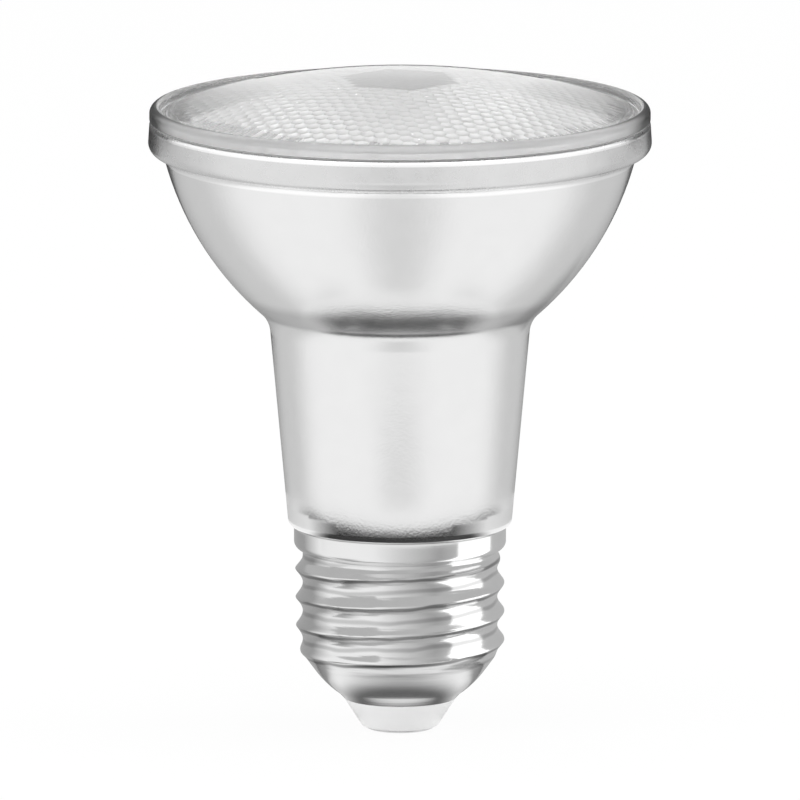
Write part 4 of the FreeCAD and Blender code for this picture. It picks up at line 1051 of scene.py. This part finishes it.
@dataclass
class ReflectorBody:
    """Collar, bowl, neck and tail of one pressed glass body."""

    rim_top: Spot = (31.62, 77.8)
    rim_top_round: float = 0.5
    rim_foot: Spot = (31.75, 75.2)
    rim_foot_round: float = 1.4
    rim_under: Spot = (30.66, 73.83)
    under_hollow: float = 1.4
    bowl_top: Spot = (29.63, 72.85)
    bowl_arc: float = 39.93
    bowl_foot: Spot = (17.85, 53.72)
    neck_hollow: float = 4.0
    neck_top: Spot = (16.35, 50.7)
    neck_foot: Spot = (14.17, 27.05)
    neck_foot_round: float = 1.1
    seat: Spot = (13.27, 26.0)
    tail: float = 11.2
    tail_foot: float = 16.5
    tail_inside: float = 9.8
    tail_top: float = 28.4
    neck_wall: float = 1.8
    neck_inside_top: Spot = (14.63, 51.6)
    neck_inside_foot: Spot = (12.62, 30.2)
    bowl_wall: float = 2.3
    bowl_inside_foot: float = 54.62
    mouth: Spot = (28.95, 75.9)
    step: float = 2.0
    turns: int = 288

    def inner_bowl(self, height: float) -> Spot:
        """Point of the bowl's inside: on the outer arc's centre, with the wall off its radius.

        Args:
            height: the point's height.

        Returns:
            Its radius and height.
        """
        centre = arc_centre(np.array(self.bowl_foot), np.array(self.bowl_top), self.bowl_arc)
        out = math.sqrt((self.bowl_arc - self.bowl_wall) ** 2 - (centre[1] - height) ** 2)
        return centre[0] + out, height

    def build(self, mirrored: bpy.types.Material, mirror: bpy.types.Material,
              dull: bpy.types.Material) -> Piece:
        """Turn the section of the glass.

        Args:
            mirrored: finish of the outside.
            mirror: finish of the inside.
            dull: finish of the collar.

        Returns:
            The body.
        """
        corners = [
            (self.rim_top[0] - self.rim_top_round, self.rim_top[1]),
            (self.mouth[0], self.rim_top[1]),
            self.mouth,
            (*self.inner_bowl(self.mouth[1]), self.bowl_wall - self.bowl_arc),
            (*self.inner_bowl(self.bowl_inside_foot), self.neck_hollow + self.neck_wall),
            self.neck_inside_top,
            self.neck_inside_foot,
            (self.tail_inside, self.tail_top),
            (self.tail_inside, self.tail_foot),
            (self.tail, self.tail_foot),
            (self.tail, self.seat[1]),
            (*self.seat, self.neck_foot_round),
            self.neck_foot,
            (*self.neck_top, -self.neck_hollow),
            (*self.bowl_foot, self.bowl_arc),
            (*self.bowl_top, -self.under_hollow),
            (*self.rim_under, self.rim_foot_round),
            self.rim_foot,
            (self.rim_top[0], self.rim_top[1] - self.rim_top_round, self.rim_top_round),
        ]
        # The inside ends at the tail's foot, and the collar starts after the arc under it
        inside = len(outline(corners[:9], False, self.step))
        collar = len(outline(corners[:-2], False, self.step)) - 1
        row = np.arange(len(outline(corners, True, self.step)))
        row = np.where(row < inside, 1, np.where(row < collar, 0, 2))
        shape = turned(corners, self.turns, self.step)
        return Piece("reflector_body", "mirrored_glass", shape, [mirrored, mirror, dull],
                     np.tile(row, self.turns))


# Cap


@dataclass
class ScrewCap:
    """Skirt, rolled thread and cone of one thin sheet."""

    wall: float = 0.3
    skirt: float = 13.4
    skirt_top: float = 26.0
    skirt_foot: float = 24.1
    skirt_round: float = 1.05
    skirt_lead: Spot = (12.75, 23.2)
    skirt_lead_inside: Spot = (12.45, 23.5)
    cone_top: Spot = (10.6, 7.4)
    cone_foot: Spot = (7.7, 4.65)
    cone_arc: float = 13.0
    cone_inside_top: Spot = (10.18, 7.4)
    cone_inside_foot: Spot = (7.28, 4.65)
    mouth: Spot = (7.1, 4.0)
    mouth_inside: Spot = (6.68, 4.0)
    thread_top: float = 22.9
    root: float = 12.3
    depth: float = 0.9
    pitch: float = 3.629
    phase: float = 18.745
    crest_round: float = 0.08
    fade_top: float = 1.7
    fade_foot: float = 2.0
    shoulder: float = 10.4
    barrel_foot: float = 9.0
    lean: float = 0.743
    uneven: float = 0.05
    turns: int = 240
    rows: int = 170
    inner_rows: int = 64

    def barrel(self, turn: np.ndarray, height: np.ndarray) -> np.ndarray:
        """Outside radius: round valleys that meet in narrow crests and die out at both ends.

        Args:
            turn: angles about the axis.
            height: heights.

        Returns:
            Radius at each pair.
        """
        below = np.maximum(self.shoulder - height, 0.0)
        base = self.root - self.lean / (self.shoulder - self.barrel_foot) / 2.0 * below ** 2
        wave = (height - self.phase) / self.pitch - turn / (2.0 * np.pi)
        flank = np.hypot(np.sin(np.pi * wave), self.crest_round)
        full = math.hypot(1.0, self.crest_round)
        crest = (full - flank) / (full - self.crest_round)
        top = np.clip((self.thread_top - height) / self.fade_top, 0.0, 1.0)
        foot = np.clip((height - self.barrel_foot) / self.fade_foot, 0.0, 1.0)
        fade = top ** 2 * (3.0 - 2.0 * top) * foot ** 2 * (3.0 - 2.0 * foot)
        dents = np.sin(5.0 * turn + 1.3 * height) * np.sin(3.0 * turn - 0.9 * height + 1.0)
        return base + (self.depth + self.uneven * dents) * crest * fade

    def build(self, plated: bpy.types.Material) -> Piece:
        """Sweep the section, whose barrel changes with the turn.

        Args:
            plated: finish of the sheet.

        Returns:
            The cap.
        """
        bead = self.wall / 3.0
        before = outline([
            (*self.skirt_lead, self.skirt_round),
            (self.skirt, self.skirt_foot),
            (self.skirt, self.skirt_top - bead, bead),
            (self.skirt - bead, self.skirt_top),
            (self.skirt - self.wall, self.skirt_top),
            (self.skirt - self.wall, self.skirt_foot, self.wall - self.skirt_round),
            self.skirt_lead_inside,
        ], False)
        after = outline([
            (*self.cone_inside_top, self.wall - self.cone_arc),
            self.cone_inside_foot,
            self.mouth_inside,
            self.mouth,
            (*self.cone_foot, self.cone_arc),
            self.cone_top,
        ], False)
        high = np.linspace(self.thread_top, self.barrel_foot, self.inner_rows)
        low = np.linspace(self.barrel_foot, self.thread_top, self.rows)
        turn = 2.0 * np.pi * np.arange(self.turns)[:, None] / self.turns
        inner = self.barrel(turn, high[None, :]) - self.wall
        outer = self.barrel(turn, low[None, :])
        sides = [spread(line[:, 0], self.turns) for line in (before, after)]
        radius = np.concatenate([sides[0], inner, sides[1], outer], axis=1)
        height = spread(np.concatenate([before[:, 1], high, after[:, 1], low]), self.turns)
        return Piece("cap_shell", "nickel", swept(radius, height), [plated])


@dataclass
class CapFoot:
    """Insulator in the cap's mouth and the contact under it."""

    face: Spot = (4.5, 0.35)
    face_round: float = 0.5
    slope_foot: Spot = (4.95, 0.65)
    slope_top: Spot = (7.1, 4.0)
    seat: Spot = (6.63, 4.0)
    flange: Spot = (9.3, 7.0)
    bore: Spot = (6.4, 5.2)
    stem: float = 1.1
    stem_inside: float = 0.42
    stem_top: float = 6.2
    disc: Spot = (4.3, 0.2)
    disc_flat: float = 3.7
    disc_round: float = 0.9
    disc_edge: Spot = (4.25, 0.35)
    turns: int = 128

    def insulator(self, white: bpy.types.Material) -> Piece:
        """Turn the insulator: a slanted foot, a flange inside the cap and a hollow above.

        Args:
            white: finish of the insulator.

        Returns:
            The insulator.
        """
        corners = [
            (self.stem, self.face[1]),
            (*self.face, self.face_round),
            self.slope_foot,
            self.slope_top,
            self.seat,
            self.flange,
            (self.bore[0], self.flange[1]),
            self.bore,
            (self.stem, self.bore[1]),
        ]
        return Piece("cap_insulator", "insulator_white", turned(corners, self.turns, step=8.0), [white])

    def contact(self, metal: bpy.types.Material) -> Piece:
        """Turn the contact: a disc that rises a little to its edge, on a hollow stem.

        Args:
            metal: finish of the contact.

        Returns:
            The contact.
        """
        line = outline([
            (0.0, 0.0),
            (self.disc_flat, 0.0, self.disc_round),
            self.disc,
            (self.disc[0], (self.disc[1] + self.disc_edge[1]) / 2.0),
            self.disc_edge,
            (self.stem, self.disc_edge[1]),
            (self.stem, self.stem_top),
            (self.stem_inside, self.stem_top),
            (self.stem_inside, self.disc_round),
            (0.0, self.disc_round),
        ], False, 6.0)
        return Piece("centre_contact", "contact_metal", solid_turned(line, self.turns), [metal])


# Finishes of the imported nodes that stay


# Painted shade and highlight: the first ring darkens the silver in the hollow above the neck, standing in for
# a dark reflection; the second ring, white under the collar, is a painted highlight line.
SATIN_SILVER = MirroredGlass("mirrored_glass", grey(0.84), 0.24, coat=0.6, mottle=0.02,
                             grain_scale=3000.0, grain_depth=0.000014, gloss_spread=0.06,
                             painted_light_rings=(Ring(53.6, 55.0, 0.7, 1.8, 0.58), Ring(73.0, 73.6, 0.3, 0.3, 1.0)))
# Painted highlight: the ring lightens the collar's top edge at the seam to white.
DULL_SILVER = MirroredGlass("dull_silver", grey(0.72), 0.28, coat=0.6, mottle=0.05,
                            grain_scale=3000.0, grain_depth=0.00002, gloss_spread=0.08,
                            painted_light_rings=(Ring(77.2, 77.9, 0.15, 0.1, 1.0),))
BRIGHT_SILVER = MirroredGlass("bright_silver", grey(0.94), 0.16, mottle=0.02,
                              grain_scale=3000.0, grain_depth=0.000006, gloss_spread=0.04)
CLEAR = ClearGlass("lens_clear", grey(1.0), 0.06, grain_scale=3600.0, grain_depth=0.000006,
                   gloss_spread=0.04)
# Painted shade: this glass darkens where its face turns away from the eye, at the flange's ends.
FROSTED = ClearGlass("lens_frosted", grey(0.88), 0.40, grain_scale=3600.0, grain_depth=0.00002,
                     gloss_spread=0.08, clear=0.9, painted_rim_shade=1.0)
ETCHED = ClearGlass("lens_etched", grey(1.0), 0.26, grain_scale=3600.0, grain_depth=0.00001,
                    gloss_spread=0.06, clear=0.6)
MATT = ClearGlass("lens_matt", grey(0.44), 0.36, grain_scale=3200.0, grain_depth=0.00003,
                  gloss_spread=0.06, clear=0.6)
# Painted shade: dull lays dark lines under the thread's crests and in its valleys.
NICKEL = RolledMetal("bright_nickel", grey(0.82), 0.14, mottle=0.03, gloss_spread=0.05,
                     roll_depth=0.0001, dull=0.75)
INSULATOR = Finish("insulator_white", grey(0.90), 0.34, mottle=0.02, grain_depth=0.000004)
CONTACT = RolledMetal("contact_metal", grey(0.66), 0.28, mottle=0.08, gloss_spread=0.1)


class Stuff(Enum):
    """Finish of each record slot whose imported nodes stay. A member has the slot's name in capitals."""

    BOND = Finish("bond", grey(0.34), 0.45, grain_depth=0.00002)
    SPUN_ALUMINIUM = RolledMetal("spun_aluminium", grey(0.80), 0.32, mottle=0.05)
    THERMAL_PAD = Finish("thermal_pad", (0.42, 0.43, 0.46), 0.75)
    BOARD_WHITE = PrintedBoard("board_white", (0.83, 0.83, 0.82), 0.35,
                               track=(0.74, 0.74, 0.73), track_scale=330.0)
    LED_PACKAGE = LedPackage("led_package", (0.84, 0.84, 0.83), 0.4, mottle=0.02)
    SCREW_STEEL = RolledMetal("screw_steel", grey(0.62), 0.24, mottle=0.08)
    HOUSING_WHITE = Finish("housing_white", (0.80, 0.80, 0.79), 0.5, grain_depth=0.00002)
    BOARD_GREEN = PrintedBoard("board_green", (0.03, 0.20, 0.08), 0.35, coat=0.3,
                               track=(0.05, 0.30, 0.12), track_scale=420.0)
    FERRITE = Finish("ferrite", (0.055, 0.055, 0.06), 0.6, grain_depth=0.00003)
    BOBBIN_BLACK = Finish("bobbin_black", grey(0.03), 0.4)
    ENAMELLED_COPPER = Winding("enamelled_copper", (0.55, 0.20, 0.07), 0.25,
                               metallic=1.0, coat=0.5)
    CAN_ALUMINIUM = BandedSleeve("can_sleeve", (0.03, 0.035, 0.06), 0.35, coat=0.3,
                                 band=grey(0.78), bands=((28.75, 29.2),))
    FILM_YELLOW = Finish("film_yellow", (0.72, 0.50, 0.06), 0.35)
    VARISTOR_BLUE = Finish("varistor_blue", (0.04, 0.12, 0.42), 0.3, coat=0.4)
    RESISTOR_BODY = BandedSleeve("resistor_lacquer", (0.20, 0.34, 0.22), 0.35, coat=0.4,
                                 band=(0.30, 0.10, 0.03),
                                 bands=((18.0, 18.5), (19.6, 20.0), (20.8, 21.2)))
    CHIP_BLACK = Finish("chip_black", (0.025, 0.025, 0.027), 0.45, grain_depth=0.00002)
    RED_WIRE = Finish("red_wire", (0.52, 0.03, 0.02), 0.4)
    BLACK_WIRE = Finish("black_wire", grey(0.03), 0.4)
    CEMENT = Finish("cement", (0.55, 0.52, 0.46), 0.85, grain_depth=0.00005)

    @property
    def slot(self) -> str:
        """The slot's name in the record."""
        return self.name.lower()


def dress_nodes() -> None:
    """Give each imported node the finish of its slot, in all its material slots."""
    made = {stuff.slot: stuff.value.build() for stuff in Stuff}
    slots = {row["node"]: row["material_slot"] for row in frame["record"]["subparts"]}
    for node, obj in frame["nodes"].items():
        material = made.get(slots.get(node, ""))
        if material is None:
            continue
        obj.data.materials.clear()
        obj.data.materials.append(material)
        LOG.info("%s: %s", node, material.name)


# Studio


def direction(azimuth: float, elevation: float = 0.0) -> Vector:
    """Way out from the bulb: azimuth 0 is where the camera is and 90 is on the right."""
    turn, rise = math.radians(azimuth), math.radians(elevation)
    return Vector((math.sin(turn) * math.cos(rise), -math.cos(turn) * math.cos(rise), math.sin(rise)))


@dataclass(frozen=True)
class Panel:
    """A soft lamp that looks at the bulb, given in degrees, metres and watts."""

    name: str
    azimuth: float
    elevation: float
    distance: float
    width: float
    height: float
    power: float
    shines: bool = False

    def build(self, aim: Vector) -> None:
        """Hang the lamp.

        Args:
            aim: the point that it looks at, in metres.
        """
        lamp = bpy.data.lights.new(self.name, "AREA")
        lamp.shape = "RECTANGLE"
        lamp.size = self.width
        lamp.size_y = self.height
        lamp.energy = self.power
        obj = linked(self.name, lamp)
        way = direction(self.azimuth, self.elevation)
        obj.location = aim + way * self.distance
        obj.rotation_euler = way.to_track_quat("Z", "Y").to_euler()
        obj.visible_camera = False
        obj.visible_glossy = self.shines


@dataclass(frozen=True)
class Shade:
    """Grey on a level card: part of a ring round the bulb, in degrees and millimetres.

    Its outer edge is a circle whose middle lies back from the bulb's axis.
    """

    depth: float
    azimuth: float = 0.0
    half: float = 180.0
    feather: float = 20.0
    inner: float = 0.0
    outer: float = 2000.0
    soft: float = 10.0
    inner_soft: float = 10.0
    back: float = 0.0

    def mask(self, graph: Graph, across: Term, along: Term) -> Term:
        """How much of the grey lies at a point.

        Args:
            graph: the material's nodes; not used.
            across: metres to the right, seen from the camera.
            along: metres away from the camera.

        Returns:
            The depth inside the ring, 0 outside it, with feathered edges.
        """
        behind = along - self.back * MM
        shifted = (across * across + behind * behind).maths("SQRT")
        mask = shifted.step((self.outer + self.soft) * MM, self.outer * MM)
        if self.half < 180.0:
            way = direction(self.azimuth)
            side = (across * way.y - along * way.x).maths("ABSOLUTE")
            swing = side.maths("ARCTAN2", across * way.x + along * way.y)
            mask = mask * swing.step(math.radians(self.half + self.feather), math.radians(self.half))
        if self.inner > 0.0:
            reach = (across * across + along * along).maths("SQRT")
            mask = mask * reach.step((self.inner - self.inner_soft) * MM, self.inner * MM)
        return mask * self.depth


def side_shade(azimuth: float) -> Shade:
    """Grey that the neck's foot shows on one side."""
    return Shade(0.55, azimuth, half=26.0, feather=26.0, inner=20.0, outer=30.0, soft=14.0, inner_soft=3.0)


BACK_SHADES = (
    Shade(0.36, azimuth=180.0, half=62.0, feather=40.0),
    Shade(0.45, azimuth=180.0, half=10.0, feather=40.0),
)


@dataclass(frozen=True)
class Sheet:
    """Level white card with a hole for the bulb, with grey shades on it, in millimetres."""

    name: str
    height: float
    inner: float
    outer: float
    shades: tuple[Shade, ...]
    through_glass: bool = False
    below: float = 1.0


@dataclass(frozen=True)
class Stand:
    """Upright card bent round the bulb, in degrees and millimetres."""

    name: str
    first: float
    last: float
    greys: Spot
    radius: float = 20.0
    foot: float = 0.1
    top: float = 24.6
    through_glass: bool = False


def guard(name: str, first: float, last: float, greys: Spot, top: float) -> Stand:
    """A low card on the cap's rim, which keeps the neck's foot light."""
    return Stand(name, first, last, greys, radius=15.6, foot=26.15, top=top)


def flag(name: str, first: float, last: float, greys: Spot) -> Stand:
    """A card beside the lens, which darkens its ends and is also seen through glass."""
    return Stand(name, first, last, greys, radius=70.0, foot=70.0, top=103.0, through_glass=True)


@dataclass
class Studio:
    """Floor, lamps, cards and camera. The cards are seen by shiny faces, and some also through glass."""

    aim_height: float = 42.1
    camera_distance: float = 3.0
    camera_elevation: float = 10.0
    lens: float = 1069.0
    sensor: float = 36.0
    clip: Spot = (0.1, 20.0)
    floor_reach: float = 6.0
    floor_grey: float = 0.85
    floor_white: float = 0.94
    room: float = 0.8
    steps: int = 24
    round_steps: int = 96
    panels: tuple[Panel, ...] = (
        Panel("left_panel", -62.0, 14.0, 0.9, 0.75, 0.9, 3.4),
        Panel("right_panel", 90.0, 14.0, 0.8, 0.42, 0.9, 3.0),
        Panel("top_panel", 0.0, 86.0, 0.9, 1.0, 0.8, 3.9, shines=True),
    )
    sheets: tuple[Sheet, ...] = (
        Sheet("table_card", 0.05, 5.0, 1200.0, (
            Shade(0.55, inner=16.0, inner_soft=2.0, outer=20.0, soft=8.0, back=3.0),
            side_shade(-90.0),
            side_shade(90.0),
            Shade(0.86, inner=6.9, inner_soft=0.9, outer=6.4, soft=6.6, back=-2.4),
            Shade(0.26, half=3.0, feather=30.0, inner=32.0, inner_soft=14.0, outer=130.0, soft=30.0),
            Shade(0.30, half=5.0, feather=30.0, inner=400.0, inner_soft=60.0),
            *BACK_SHADES,
            Shade(0.40, azimuth=168.0, half=20.0, feather=16.0, inner=60.0, outer=125.0, soft=20.0),
            Shade(0.95, azimuth=-167.0, half=17.0, feather=14.0, inner=300.0, inner_soft=60.0),
            Shade(0.90, azimuth=175.0, half=17.0, feather=11.0, inner=300.0, inner_soft=60.0),
        ), through_glass=True),
        Sheet("neck_card", 26.1, 13.75, 28.0, (
            Shade(0.96, half=40.0, feather=20.0, outer=26.2, soft=5.5, back=10.0),
            Shade(0.98, half=64.0, feather=40.0, inner=16.2, inner_soft=0.6, outer=25.8, soft=5.0, back=10.0),
            *BACK_SHADES,
        ), below=0.52),
    )
    stands: tuple[Stand, ...] = (
        Stand("light_card", -21.0, 0.0, (1.0, 0.72)),
        Stand("fading_card", 0.0, 30.0, (0.72, 0.40)),
        Stand("grey_card", 30.0, 45.0, (0.40, 0.54)),
        Stand("white_card", 45.0, 82.0, (1.5, 1.5)),
        Stand("back_card", 82.0, 150.0, (0.55, 0.48)),
        guard("left_guard", -125.0, -60.0, (0.42, 0.84), 28.2),
        guard("left_guard_edge", -60.0, -38.0, (0.84, 0.10), 27.9),
        guard("right_guard_edge", 30.0, 56.0, (0.06, 0.84), 27.9),
        guard("right_guard", 56.0, 125.0, (0.84, 0.42), 28.2),
        Stand("left_back_card", -175.0, -92.0, (0.50, 0.36)),
        Stand("left_card", -92.0, -66.0, (0.36, 1.0)),
        flag("left_flag_edge", -164.0, -146.0, (0.95, 0.1)),
        flag("left_flag", -146.0, -106.0, (0.1, 0.02)),
        flag("right_flag", 106.0, 146.0, (0.02, 0.1)),
        flag("right_flag_edge", 146.0, 164.0, (0.1, 0.95)),
    )

    @staticmethod
    def stage(name: str, points: np.ndarray, faces: np.ndarray,
              material: bpy.types.Material) -> bpy.types.Object:
        """A thing of the studio, in metres.

        Args:
            name: its name.
            points: its corners.
            faces: numbers of the corners of each face.
            material: what it is made of.

        Returns:
            The object.
        """
        mesh = bpy.data.meshes.new(name)
        mesh.from_pydata(points.tolist(), [], faces.tolist())
        mesh.materials.append(material)
        obj = linked(name, mesh)
        return obj

    def card(self, graph: Graph, tone: Term, lines: Sequence[np.ndarray], through_glass: bool) -> None:
        """Hang a card between two lines: shiny faces see it, whatever light falls on it.

        Args:
            graph: nodes of the card's material, whose name it takes.
            tone: its grey.
            lines: points of its two edges, in millimetres.
            through_glass: glass shows it too.
        """
        offset = len(lines[0])
        number = np.arange(offset - 1)
        faces = np.stack([number, number + 1, number + offset + 1, number + offset], axis=1)
        material = graph.finish("ShaderNodeEmission", {"Color": tone})
        obj = self.stage(material.name, np.concatenate(lines) * MM, faces, material)
        obj.visible_camera = False
        obj.visible_diffuse = False
        obj.visible_shadow = False
        obj.visible_transmission = through_glass

    def floor(self) -> None:
        """Pale floor: plain paint, and nearly white where the camera, metal or glass looks at it."""
        graph = Graph(bpy.data.materials.new("studio_floor"))
        camera, glossy, through = (graph.term("ShaderNodeLightPath", {}, {}, f"Is {ray} Ray")
                                   for ray in ("Camera", "Glossy", "Transmission"))
        seen = (camera + glossy + through).maths("MINIMUM", 1.0)
        paint = graph.term("ShaderNodeBsdfDiffuse", {}, {"Color": grey(self.floor_grey)})
        white = graph.term("ShaderNodeEmission", {}, {"Color": grey(1.0)})
        material = graph.finish("ShaderNodeMixShader", {0: seen * self.floor_white, 1: paint, 2: white})
        corners = np.array([[-1.0, -1.0, 0.0], [1.0, -1.0, 0.0], [1.0, 1.0, 0.0], [-1.0, 1.0, 0.0]])
        self.stage("studio_floor", corners * self.floor_reach, np.array([[0, 1, 2, 3]]), material)

    @staticmethod
    def rim(radius: float, height: float, first: float, last: float, steps: int) -> np.ndarray:
        """Points on a level circle, from one azimuth to another."""
        turn = np.radians(np.linspace(first, last, steps + 1))
        return np.stack([radius * np.sin(turn), -radius * np.cos(turn), np.full(steps + 1, height)], axis=1)

    def lay(self, sheet: Sheet) -> None:
        """Lay one level card round the bulb.

        Args:
            sheet: the card.
        """
        graph = Graph(bpy.data.materials.new(sheet.name))
        across, along, _ = graph.split(graph.place())
        tone: Value = 1.0
        for shade in sheet.shades:
            tone = tone * (1.0 - shade.mask(graph, across, along))
        under = graph.term("ShaderNodeNewGeometry", {}, {}, "Backfacing")
        lines = [self.rim(radius, sheet.height, -180.0, 180.0, self.round_steps)
                 for radius in (sheet.outer, sheet.inner)]
        self.card(graph, under * sheet.below + (1.0 - under) * tone, lines, sheet.through_glass)

    def stand(self, card: Stand) -> None:
        """Set up one upright card, whose grey runs evenly from its first edge to its last.

        Args:
            card: the card.
        """
        graph = Graph(bpy.data.materials.new(card.name))
        across, along, _ = graph.split(graph.place())
        middle = direction((card.first + card.last) / 2.0)
        swing = (along * middle.x - across * middle.y).maths("ARCTAN2", across * middle.x + along * middle.y)
        half = math.radians(card.last - card.first) / 2.0
        low, high = card.greys
        lines = [self.rim(card.radius, height, card.first, card.last, self.steps)
                 for height in (card.foot, card.top)]
        self.card(graph, swing * ((high - low) / 2.0 / half) + (low + high) / 2.0, lines, card.through_glass)

    def world(self) -> None:
        """Even room light, which metal and glass see as white."""
        graph = Graph(bpy.data.worlds.new("room"))
        lights = graph.term("ShaderNodeLightPath", {}, {}, "Is Diffuse Ray")
        strength = graph.term("ShaderNodeMapRange", {}, {"Value": lights, "To Min": 1.0, "To Max": self.room},
                              "Result")
        inputs = {"Color": grey(1.0), "Strength": strength}
        bpy.context.scene.world = graph.finish("ShaderNodeBackground", inputs, "ShaderNodeOutputWorld")

    def camera(self) -> None:
        """Long lens, a little above the bulb."""
        data = bpy.data.cameras.new("camera")
        data.sensor_width = self.sensor
        data.lens = self.lens
        data.clip_start, data.clip_end = self.clip
        obj = linked("camera", data)
        back = direction(0.0, self.camera_elevation)
        obj.location = Vector((0.0, 0.0, self.aim_height * MM)) + back * self.camera_distance
        obj.rotation_euler = back.to_track_quat("Z", "Y").to_euler()
        bpy.context.scene.camera = obj

    def build(self) -> None:
        """Set up everything round the bulb."""
        self.camera()
        self.floor()
        for sheet in self.sheets:
            self.lay(sheet)
        for card in self.stands:
            self.stand(card)
        self.world()
        for panel in self.panels:
            panel.build(Vector((0.0, 0.0, self.aim_height * MM)))
        bpy.context.scene.view_settings.view_transform = "Standard"
        LOG.info("studio ready")


def main() -> None:
    """Build the bulb and its studio."""
    logging.basicConfig(level=logging.INFO, format="%(name)s: %(message)s")
    Studio().build()
    dress_nodes()
    FrontLens().build(CLEAR.build(), FROSTED.build(), ETCHED.build(), MATT.build())
    ReflectorBody().build(SATIN_SILVER.build(), BRIGHT_SILVER.build(), DULL_SILVER.build())
    ScrewCap().build(NICKEL.build())
    foot = CapFoot()
    foot.insulator(INSULATOR.build())
    foot.contact(CONTACT.build())


if __name__ == "__main__":
    main()
